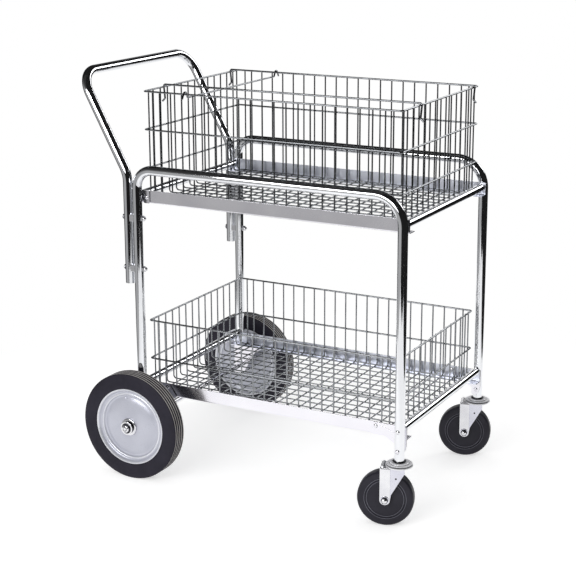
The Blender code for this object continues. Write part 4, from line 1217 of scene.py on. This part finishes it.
@dataclass
class SwivelCaster:
    """One front caster, turned as it stands in use."""

    side: Side
    turn: float = math.radians(17)
    trail: float = 0.028
    wheel_radius: float = 0.0625
    half_width: float = 0.015
    hub_half: float = 0.0168
    sheet: float = 0.003
    rib: float = 0.002
    foot: float = 0.0115
    front_reach: float = 0.014
    shoulder: float = 0.012
    race: float = 0.0052
    neck: float = 0.0022

    @property
    def race_top(self) -> float:
        """The top of the fork's raceway."""
        return CART.front_leg_end - CART.gap - self.neck - self.race - CART.gap

    @property
    def plate_top(self) -> float:
        """The top of the fork's plate."""
        return self.race_top - self.race * 0.7

    def place(self, local: Matrix) -> Matrix:
        """A place in the swivel's own axes, taken to the cart's."""
        swivel = Matrix.Translation((CART.front_x, self.side.value * CART.leg_y, 0))
        return swivel @ Matrix.Rotation(self.turn, 4, "Z") @ local

    def build(self) -> None:
        """Build and dress the caster."""
        self._build_mount()
        self._build_fork()
        self._build_wheel()
        self._build_axle()

    def _build_mount(self) -> None:
        """Turn the stem with its neck and the upper raceway."""
        face = CART.front_leg_end - CART.gap
        base = face - self.neck - self.race
        radius = CART.raceway_radius
        profile = [
            (0, face + 0.018), (0.0078, face + 0.018), (0.0085, face + 0.0172), (0.0085, face),
            (0.0140, face), (0.0150, face - 0.0006), (0.0142, face - self.neck),
            (0.0200, face - self.neck), (0.0208, face - self.neck - 0.0007),
            (0.0208, face - self.neck - 0.0022), (0.0198, face - self.neck - 0.0027),
            (0.0214, face - self.neck - 0.0028), (0.0274, face - self.neck - 0.0028),
            (radius - 0.0012, base + 0.0016), (radius - 0.0010, base + 0.0006), (radius - 0.0022, base),
            (0, base),
        ]
        mount = turn_piece(f"caster_stem_{self.side.word}", profile, self.place(Matrix()), sides=64)
        seat(mount, Body.FRAME.value, Finish.RACEWAY, f"caster_mount_{self.side.word}")
        # Painted shade: the neck, the groove under it and the raceway's lower edge go near-black.
        grooves = (
            Band(high=0.0147, below=face),
            Band(0.0197, 0.0215, below=face - self.neck - 0.0021),
            Band(low=radius - 0.0024, below=base + 0.0017),
        )
        Finish.OILED_STEEL.dress_bands(mount, self.place(Matrix()), *grooves)

    def _cheek_outline(self) -> list[tuple[float, float]]:
        """The outline of a cheek: straight rear edge, round foot and a slanting front web."""
        axle_x, axle_z, foot = -self.trail, self.wheel_radius, self.foot
        arc = [math.pi + step * math.pi / 12 for step in range(13)]
        round_foot = [(axle_x + foot * math.cos(turn), axle_z + foot * math.sin(turn)) for turn in arc]
        top = self.plate_top - self.sheet / 2
        return [
            (axle_x - foot, top),
            *round_foot,
            (axle_x + foot + 0.0020, axle_z + 0.012),
            (self.front_reach, self.plate_top - self.shoulder),
            (self.front_reach, top),
        ]

    def _build_fork(self) -> None:
        """Press the fork: top plate, raceway cup, two cheeks with ribs and small web holes."""
        inner = self.hub_half + CART.gap
        back = -self.trail - self.foot
        top = self.plate_top - self.sheet / 2
        outer = inner + self.sheet + 0.0004
        outline = [(back, -outer), (self.front_reach, -outer), (self.front_reach, outer), (back, outer)]
        place = self.place(Matrix.Translation((0, 0, self.plate_top - self.sheet)))
        pieces = [cut_plate("plate", outline, self.sheet, place, 0.0015, 0.0008)]
        radius, race_top = CART.raceway_radius, self.race_top
        cup = [
            (0, race_top), (radius - 0.0042, race_top), (radius - 0.0038, race_top - 0.0008),
            (radius - 0.0010, race_top - 0.0008), (radius, race_top - 0.0014),
            (radius, race_top - 0.0032), (radius - 0.0008, race_top - 0.0038),
            (radius - 0.0060, race_top - 0.0042), (radius * 0.70, top), (0, top),
        ]
        raceway = turn_piece("cup", cup, self.place(Matrix()), sides=64)
        ear = [(0.0012, 0), (0.0028, 0.0042), (0.0070, 0.0052), (0.0084, 0)]
        ear = [(back + along, top + rise) for along, rise in ear]
        pieces.append(cut_plate("ear", ear, 2 * inner, self.place(upright(inner)), 0.0008, 0.0006))
        webs = []
        rib = [*self._cheek_outline()[:14], (-self.trail + self.foot, top - 0.0004)]
        for hand in (-1, 1):
            far_face = hand * (inner + self.sheet if hand > 0 else inner)
            stands = self.place(upright(far_face))
            cheek = cut_plate("cheek", self._cheek_outline(), self.sheet, stands, edge=0.0006)
            hole = self.place(facing(-0.0045, hand * inner, 0.1125, (0, 1, 0)))
            drill(cheek, 0.0021, 4 * self.sheet, hole)
            rib_face = hand * (inner + self.sheet + self.rib if hand > 0 else inner + self.sheet / 2)
            rib_thick = self.rib + self.sheet / 2
            pieces.append(cut_plate("rib", rib, rib_thick, self.place(upright(rib_face)), edge=0.0009))
            webs.append(smooth(cheek))
        Finish.RACEWAY.dress(raceway)
        # Painted shade: the groove on the raceway cup's top goes near-black.
        groove = Band(radius - 0.0044, radius - 0.0034, below=race_top)
        Finish.OILED_STEEL.dress_bands(raceway, self.place(Matrix()), groove)
        for web in webs:
            Finish.FORK_WEB.dress(web)
        for piece in pieces:
            Finish.BRIGHT_STEEL.dress(piece)
        fork = join(f"pressed_fork_{self.side.word}", [raceway, *webs, *pieces])
        settle(fork, Body.CASTER_SWIVEL.on(self.side), Finish.BRIGHT_STEEL, f"caster_fork_{self.side.word}")

    def _axle_place(self) -> Matrix:
        """The wheel's middle, its local Z axis along the axle."""
        return self.place(facing(-self.trail, 0, self.wheel_radius, (0, 1, 0)))

    def _build_wheel(self) -> None:
        """Mould the wheel: hub, dished web with rings, and a crowned tread."""
        radius, half = self.wheel_radius, self.half_width
        face = [
            (0.0044, self.hub_half), (0.0120, self.hub_half), (0.0135, self.hub_half - 0.0008),
            (0.0140, half - 0.0020), (0.0300, half - 0.0024), (0.0396, half - 0.0024),
            (0.0403, half - 0.0012), (0.0415, half - 0.0011), (0.0422, half - 0.0024),
            (0.0446, half - 0.0026), (0.0456, half - 0.0008), (0.0466, half - 0.0006),
            (radius - 0.0065, half), (radius - 0.0030, half - 0.0006), (radius - 0.0010, half - 0.0026),
            (radius - 0.0002, half - 0.0060), (radius, half * 0.35),
        ]
        section = face + [(place, -out) for place, out in reversed(face)]
        name = f"caster_tread_wheel_{self.side.word}"
        wheel = turn_piece(name, section, self._axle_place(), sides=80, ring=True)
        seat(wheel, Body.CASTER_ROLLER.on(self.side), Finish.CASTER_RUBBER, f"caster_wheel_{self.side.word}")
        # The two raised rings are lighter grey.
        rings = (Band(0.0403, 0.0415), Band(0.0456, 0.0466))
        Finish.LIGHT_CASTER_RING.dress_bands(wheel, self._axle_place(), *rings)

    def _build_axle(self) -> None:
        """Turn the axle bolt and put a six-sided head and nut on it."""
        grip = self.hub_half + CART.gap + self.sheet + self.rib + 0.0003
        rod = [
            (0, grip + 0.0048), (0.0030, grip + 0.0048), (0.0040, grip + 0.0040), (0.0040, -grip), (0, -grip)
        ]
        place = self._axle_place()
        bolt = [turn_piece("rod", rod, place, sides=24)]
        Finish.BRIGHT_STEEL.dress(bolt[0])
        washer = [
            (0.0040, 0), (0.0090, 0), (0.0094, 0.0003), (0.0094, 0.0009), (0.0090, 0.0011), (0.0040, 0.0011)
        ]
        hexagon = [
            (0, 0.0011), (0.0078, 0.0011), (0.0081, 0.0016), (0.0081, 0.0038), (0.0074, 0.0044), (0, 0.0044)
        ]
        dome = [
            (0, 0.0042), (0.0060, 0.0042), (0.0058, 0.0056), (0.0044, 0.0070), (0.0020, 0.0078), (0, 0.0080)
        ]
        shapes = (
            (washer, 32, Finish.FORK_WEB),
            (hexagon, 6, Finish.OILED_STEEL),
            (dome, 24, Finish.BRIGHT_STEEL),
        )
        for hand in (-1, 1):
            for shape, sides, finish in shapes:
                profile = [(radius, hand * (grip + height)) for radius, height in shape]
                part = turn_piece("part", profile, place, sides, ring=shape is washer)
                finish.dress(part)
                bolt.append(part)
        axle = join(f"caster_axle_bolt_{self.side.word}", bolt[::-1])
        settle(axle, Body.CASTER_SWIVEL.on(self.side), Finish.BRIGHT_STEEL, f"caster_axle_{self.side.word}")


@dataclass
class WireBasket:
    """A welded wire basket: hoops outside, two crossing sets of U wires inside."""

    level: str
    rim_height: float
    hoop_drops: tuple[float, ...]
    ledge: float
    length: float = 0.634
    width: float = 0.421
    hoop_wire: float = 0.0021
    wire: float = 0.0017
    hoop_corner: float = 0.006
    wire_corner: float = 0.007
    long_pitch: float = 0.0292
    long_count: int = 20
    wide_pitch: float = 0.0296
    wide_count: int = 13
    end_share: float = 0.635
    weld_sink: float = 0.0005
    wire_over_rim: float = 0.0006

    def build(self) -> None:
        """Build, weld and dress the basket."""
        wires = self._hoops() + self._crosswise_wires() + self._lengthwise_wires()
        basket = join(f"welded_basket_{self.level}", wires)
        # The basket wires' dark colour is painted dark reflection.
        seat(basket, f"{self.level}_basket", Finish.BRIGHT_WIRE, f"{self.level}_basket")

    def _stations(self, pitch: float, count: int) -> list[float]:
        """Where wires of one set stand: evenly about the middle, with one closer wire at each end."""
        even = [(index - (count - 1) / 2) * pitch for index in range(count)]
        end = even[-1] + self.end_share * pitch
        return [-end, *even, end]

    def _hoops(self) -> list[bpy.types.Object]:
        """Bend the rim and copy it down for the other hoops."""
        half_x, half_y, z = self.length / 2, self.width / 2, self.rim_height
        x = CART.middle_x
        corners = [(x, -half_y, z), (x + half_x, -half_y, z), (x + half_x, half_y, z)]
        corners += [(x - half_x, half_y, z), (x - half_x, -half_y, z), (x, -half_y, z)]
        bends = (self.hoop_corner,) * 4
        rim = BentBar("hoop", corners, bends, self.hoop_wire, sides=12, steps=5, closed=True).build()
        return [rim] + [copy_of(rim, "hoop", Matrix.Translation((0, 0, -drop))) for drop in self.hoop_drops]

    def _u_wires(self, name: str, corners: Sequence[Point], moves: Sequence[Point]) -> list[bpy.types.Object]:
        """Bend one U wire and copy it to each of its places."""
        first = BentBar(name, corners, (self.wire_corner,) * 2, self.wire, sides=10, steps=5).build()
        wires = [copy_of(first, name, Matrix.Translation(move)) for move in moves]
        bpy.data.objects.remove(first, do_unlink=True)
        return wires

    def _crosswise_wires(self) -> list[bpy.types.Object]:
        """Bend the U wires that go across the basket."""
        y = self.width / 2 - self.hoop_wire - self.wire + self.weld_sink
        low, high = self.ledge + CART.gap + self.wire, self.rim_height + self.wire_over_rim
        corners = [(0, -y, high), (0, -y, low), (0, y, low), (0, y, high)]
        places = self._stations(self.long_pitch, self.long_count)
        return self._u_wires("cross_u", corners, [(CART.middle_x + offset, 0, 0) for offset in places])

    def _lengthwise_wires(self) -> list[bpy.types.Object]:
        """Bend the U wires that go along the basket."""
        half = self.length / 2 - self.hoop_wire - self.wire + self.weld_sink
        low = self.ledge + CART.gap + 3 * self.wire - self.weld_sink / 2
        high = self.rim_height + self.wire_over_rim
        rear, front = CART.middle_x - half, CART.middle_x + half
        corners = [(rear, 0, high), (rear, 0, low), (front, 0, low), (front, 0, high)]
        places = self._stations(self.wide_pitch, self.wide_count)
        return self._u_wires("long_u", corners, [(0, y, 0) for y in places])


@dataclass
class FilingWires:
    """The two hanging-file rails and the cross wire on the upper basket's rim."""

    rim_height: float = 0.902
    half_length: float = 0.317
    half_width: float = 0.2105
    hoop_wire: float = 0.0021
    rail_wire: float = 0.0022
    rail_places: dict[Side, float] = field(default_factory=lambda: {Side.NEAR: -0.121, Side.FAR: 0.179})
    drop: float = 0.032
    inward: float = 0.003
    tip: float = 0.004
    tip_drop: float = 0.007
    cross_wire: float = 0.0020
    setback: float = 0.209

    def build(self) -> None:
        """Build and dress the rails and the cross wire."""
        for side, y in self.rail_places.items():
            self._build_rail(side, y)
        self._build_cross_wire()

    def _build_rail(self, side: Side, y: float) -> None:
        """Bend one rail, its ends turned down outside the end rims."""
        reach = self.half_length + self.hoop_wire + CART.gap + self.rail_wire
        top = self.rim_height + self.hoop_wire + CART.gap + self.rail_wire
        foot = top - self.drop
        x = CART.middle_x
        half = [(reach + self.tip, foot - self.tip_drop), (reach - self.inward, foot), (reach, top)]
        corners = [(x - out, y, z) for out, z in half] + [(x + out, y, z) for out, z in reversed(half)]
        wire = self.rail_wire
        bends = (wire, 2 * wire, 2 * wire, wire)
        rail = BentBar(f"file_rail_{side.word}", corners, bends, wire, sides=14, steps=6).build()
        # The rail's dark colour is painted dark reflection.
        seat(rail, Body.HANGING_RAIL.on(side), Finish.BRIGHT_WIRE, f"hanging_rail_{side.word}")

    def _build_cross_wire(self) -> None:
        """Bend the cross wire, hooked over both long rims."""
        rim, wire = self.half_width, self.cross_wire
        peak = self.rim_height + self.hoop_wire + CART.gap + wire
        half = [
            (rim + 0.010, peak - 0.014), (rim + 0.0016, peak), (rim - 0.0055, peak),
            (rim - 0.0125, self.rim_height - 0.0085),
        ]
        x = CART.middle_x - self.setback
        corners = [(x, -y, z) for y, z in half] + [(x, y, z) for y, z in reversed(half)]
        bar = BentBar("hooked_cross_wire", corners, (wire,) * 6, wire, sides=14, steps=8).build()
        # The cross wire's dark colour is painted dark reflection.
        seat(bar, Body.CROSS_WIRE.value, Finish.BRIGHT_WIRE, "cross_wire")


@dataclass
class Studio:
    """The pale floor, the soft lamps, the dark studio that the metal mirrors, and the camera."""

    eye: Point = (1.5514, -2.9841, 1.3733)
    heading: float = 0.4963
    pitch: float = 0.2454
    roll: float = -0.0033
    lens: float = 93.274
    shift_y: float = -0.07
    sheet_half_width: float = 1.15
    sheet_front: float = 1.9
    sheet_back: float = 8.0
    floor_colour: Point = (0.76, 0.76, 0.76)
    floor_glow: float = 0.50
    ambient: float = 0.60
    shadows_to: float = 0.75
    white_from: float = 1.25
    metal_lift: float = 0.012

    @property
    def ahead(self) -> Vector:
        """The level direction in which the camera looks."""
        return Vector((-math.sin(self.heading), math.cos(self.heading), 0))

    @property
    def rightward(self) -> Vector:
        """The level direction to the picture's right."""
        return Vector((math.cos(self.heading), math.sin(self.heading), 0))

    def build(self) -> None:
        """Set up floor, light and camera."""
        self._lay_floor()
        self._light_surroundings()
        self._hang_lamps()
        self._set_camera()
        bpy.context.scene.view_settings.view_transform = "Standard"

    def _lay_floor(self) -> None:
        """Roll out a white sheet under the cart: wide as the picture, long behind, and ending in front."""
        put_everything_down()
        length = self.sheet_front + self.sheet_back
        bpy.ops.mesh.primitive_plane_add(size=1)
        floor = bpy.context.object
        floor.name = "studio_floor"
        middle = Vector((CART.middle_x, 0, 0)) + self.ahead * (self.sheet_back - self.sheet_front) / 2
        floor.matrix_world = Matrix.Translation(middle) @ Matrix.Rotation(self.heading, 4, "Z")
        floor.scale = (2 * self.sheet_half_width, length, 1)
        fix_place(floor)
        floor.data.materials.append(self._floor_material())

    def _floor_material(self) -> bpy.types.Material:
        """A pale matt sheet that keeps shadows near the cart and turns plain white away from it."""
        material = bpy.data.materials.new("pale_sheet")
        material.use_nodes = True
        material.node_tree.nodes.clear()
        bench = NodeBench(material.node_tree)
        matt = bench.add("BsdfDiffuse", {"Color": (*self.floor_colour, 1)}).outputs["BSDF"]
        glow = bench.add("Emission", {"Strength": self.floor_glow}).outputs["Emission"]
        near = bench.add("AddShader", {0: matt, 1: glow}).outputs["Shader"]
        white = bench.add("Emission").outputs["Emission"]
        place = bench.add("TexCoord").outputs["Object"]
        reach = bench.add("VectorMath", {0: place, 1: (CART.middle_x, 0, 0)}, operation="DISTANCE")
        ends = {"From Min": self.shadows_to, "From Max": self.white_from}
        fade = bench.add(
            "MapRange", {"Value": reach.outputs["Value"], **ends}, interpolation_type="SMOOTHSTEP"
        )
        away = bench.mix(fade.outputs["Result"], near, white)
        bench.add("OutputMaterial", {"Surface": bench.mix(self._seen_directly(bench), matt, away)})
        return material

    def _seen_directly(self, bench: NodeBench) -> bpy.types.NodeSocket:
        """One for rays from the camera and for mirrored and transmitted ones, or else nothing."""
        ray = bench.add("LightPath").outputs
        mirrored = bench.combine("MAXIMUM", ray["Is Glossy Ray"], ray["Is Transmission Ray"])
        return bench.combine("MAXIMUM", ray["Is Camera Ray"], mirrored)

    def _light_surroundings(self) -> None:
        """Make the world: white behind the cart, even light on matt surfaces, and a dark studio in metal."""
        world = bpy.data.worlds.new("studio_surroundings")
        bpy.context.scene.world = world
        world.use_nodes = True
        world.node_tree.nodes.clear()
        bench = NodeBench(world.node_tree)
        ray = bench.add("LightPath").outputs
        white = (1, 1, 1, 1)
        even = bench.add("Background", {"Color": white, "Strength": self.ambient}).outputs["Background"]
        seen = bench.add("Background", {"Color": white}).outputs["Background"]
        studio = bench.add("Background", {"Color": self._studio_colour(bench)}).outputs["Background"]
        for_metal = bench.mix(ray["Is Glossy Ray"], even, studio)
        bench.add("OutputWorld", {"Surface": bench.mix(ray["Is Camera Ray"], for_metal, seen)})

    def _studio_colour(self, bench: NodeBench) -> bpy.types.NodeSocket:
        """The studio round the sheet, by bearing and height: grey to the left, white behind, else dark."""
        direction = bench.add("TexCoord").outputs["Generated"]
        flat = bench.add("VectorMath", {0: direction, 1: (1, 1, 0)}, operation="MULTIPLY").outputs["Vector"]
        bearing = bench.add("VectorMath", {0: flat}, operation="NORMALIZE").outputs["Vector"]
        left_front = -self.rightward * 0.956 - self.ahead * 0.292
        right_behind = Vector((-0.19, 0.98, 0))
        zones = (
            (left_front, ((0.76, 0.0), (0.84, 0.40)), ((0.02, 1.0), (0.25, 0.25), (0.60, 0.05))),
            (self.ahead, ((0.90, 0.0), (0.96, 1.0)), ((0.26, 1.0), (0.36, 0.0))),
            (
                right_behind,
                ((0.980, 0.0), (0.990, 1.0)),
                ((0.30, 0.0), (0.37, 0.75), (0.49, 0.75), (0.52, 0.0)),
            ),
        )
        levels = []
        for towards, by_bearing, by_height in zones:
            level = self._zone(bench, bearing, towards, by_bearing)
            height = self._zone(bench, direction, Vector((0, 0, 1)), by_height)
            levels.append(bench.combine("MULTIPLY", level, height))
        brightest = levels[0]
        for level in levels[1:]:
            brightest = bench.combine("MAXIMUM", brightest, level)
        return bench.combine("ADD", brightest, self.metal_lift)

    def _zone(
        self, bench: NodeBench, direction: bpy.types.NodeSocket, towards: Vector, stops: Profile
    ) -> bpy.types.NodeSocket:
        """How bright the surroundings are by how far they lie towards a direction.

        Args:
            bench: The world's nodes.
            direction: The direction of each ray.
            towards: The direction that the zone lies round.
            stops: (share of the way towards it, brightness) pairs.

        Returns:
            The brightness.
        """
        dot = bench.add("VectorMath", {0: direction, 1: towards}, operation="DOT_PRODUCT")
        ramp = bench.add("ValToRGB", {"Fac": dot.outputs["Value"]})
        made = ramp.color_ramp.elements
        for index, (share, level) in enumerate(stops):
            stop = made[index] if index < 2 else made.new(share)
            stop.position = share
            stop.color = (level, level, level, 1)
        return ramp.outputs["Color"]

    def _hang_lamps(self) -> None:
        """Hang a wide softbox low in front on the left, and a small one behind on the right."""
        lamps = {
            "front_softbox": ((-0.5, -3.3, 1.45), (2.6, 1.1), 62.0),
            "rear_softbox": ((1.35, 3.0, 1.9), (1.0, 1.0), 14.0),
        }
        for name, (place, (width, height), power) in lamps.items():
            light = bpy.data.lights.new(name, "AREA")
            light.shape = "RECTANGLE"
            light.size = width
            light.size_y = height
            light.energy = power
            lamp = bpy.data.objects.new(name, light)
            lamp.location = place
            aim = Vector((CART.middle_x, 0, 0.45)) - Vector(place)
            lamp.rotation_euler = aim.to_track_quat("-Z", "Y").to_euler()
            bpy.context.collection.objects.link(lamp)

    def _set_camera(self) -> None:
        """Stand the camera where the photographer stood."""
        ahead = self.ahead * math.cos(self.pitch)
        ahead.z = -math.sin(self.pitch)
        right = ahead.cross(Vector((0, 0, 1))).normalized()
        above = right.cross(ahead)
        cos, sin = math.cos(self.roll), math.sin(self.roll)
        across, up = right * cos + above * sin, above * cos - right * sin
        camera = bpy.data.objects.new("photo_camera", bpy.data.cameras.new("photo_camera"))
        eye = Vector(self.eye) + Vector((CART.middle_x, 0, 0))
        turn = Matrix((across, up, -ahead)).transposed().to_4x4()
        camera.matrix_world = Matrix.Translation(eye) @ turn
        camera.data.lens = self.lens
        camera.data.sensor_width = SENSOR_WIDTH
        camera.data.shift_y = self.shift_y
        bpy.context.collection.objects.link(camera)
        bpy.context.scene.camera = camera


def main() -> None:
    """Build the studio and every sub-assembly in order."""
    logging.basicConfig(level=logging.INFO, format="%(name)s: %(message)s")
    Studio().build()
    SideFrames().build()
    PushHandle().build()
    Shelf("upper", CART.upper_shelf, CART.plate_face, 0.0185).build()
    Shelf("lower", CART.lower_shelf, CART.lower_angle_face, 0.0255).build()
    LegPlates().build()
    RearWheels().build()
    for side in Side:
        SwivelCaster(side).build()
    WireBasket("upper", 0.902, (0.0865, 0.176), CART.upper_shelf + CART.sheet).build()
    WireBasket("lower", 0.367, (0.092,), CART.lower_shelf + CART.sheet).build()
    FilingWires().build()


if __name__ == "__main__":
    main()
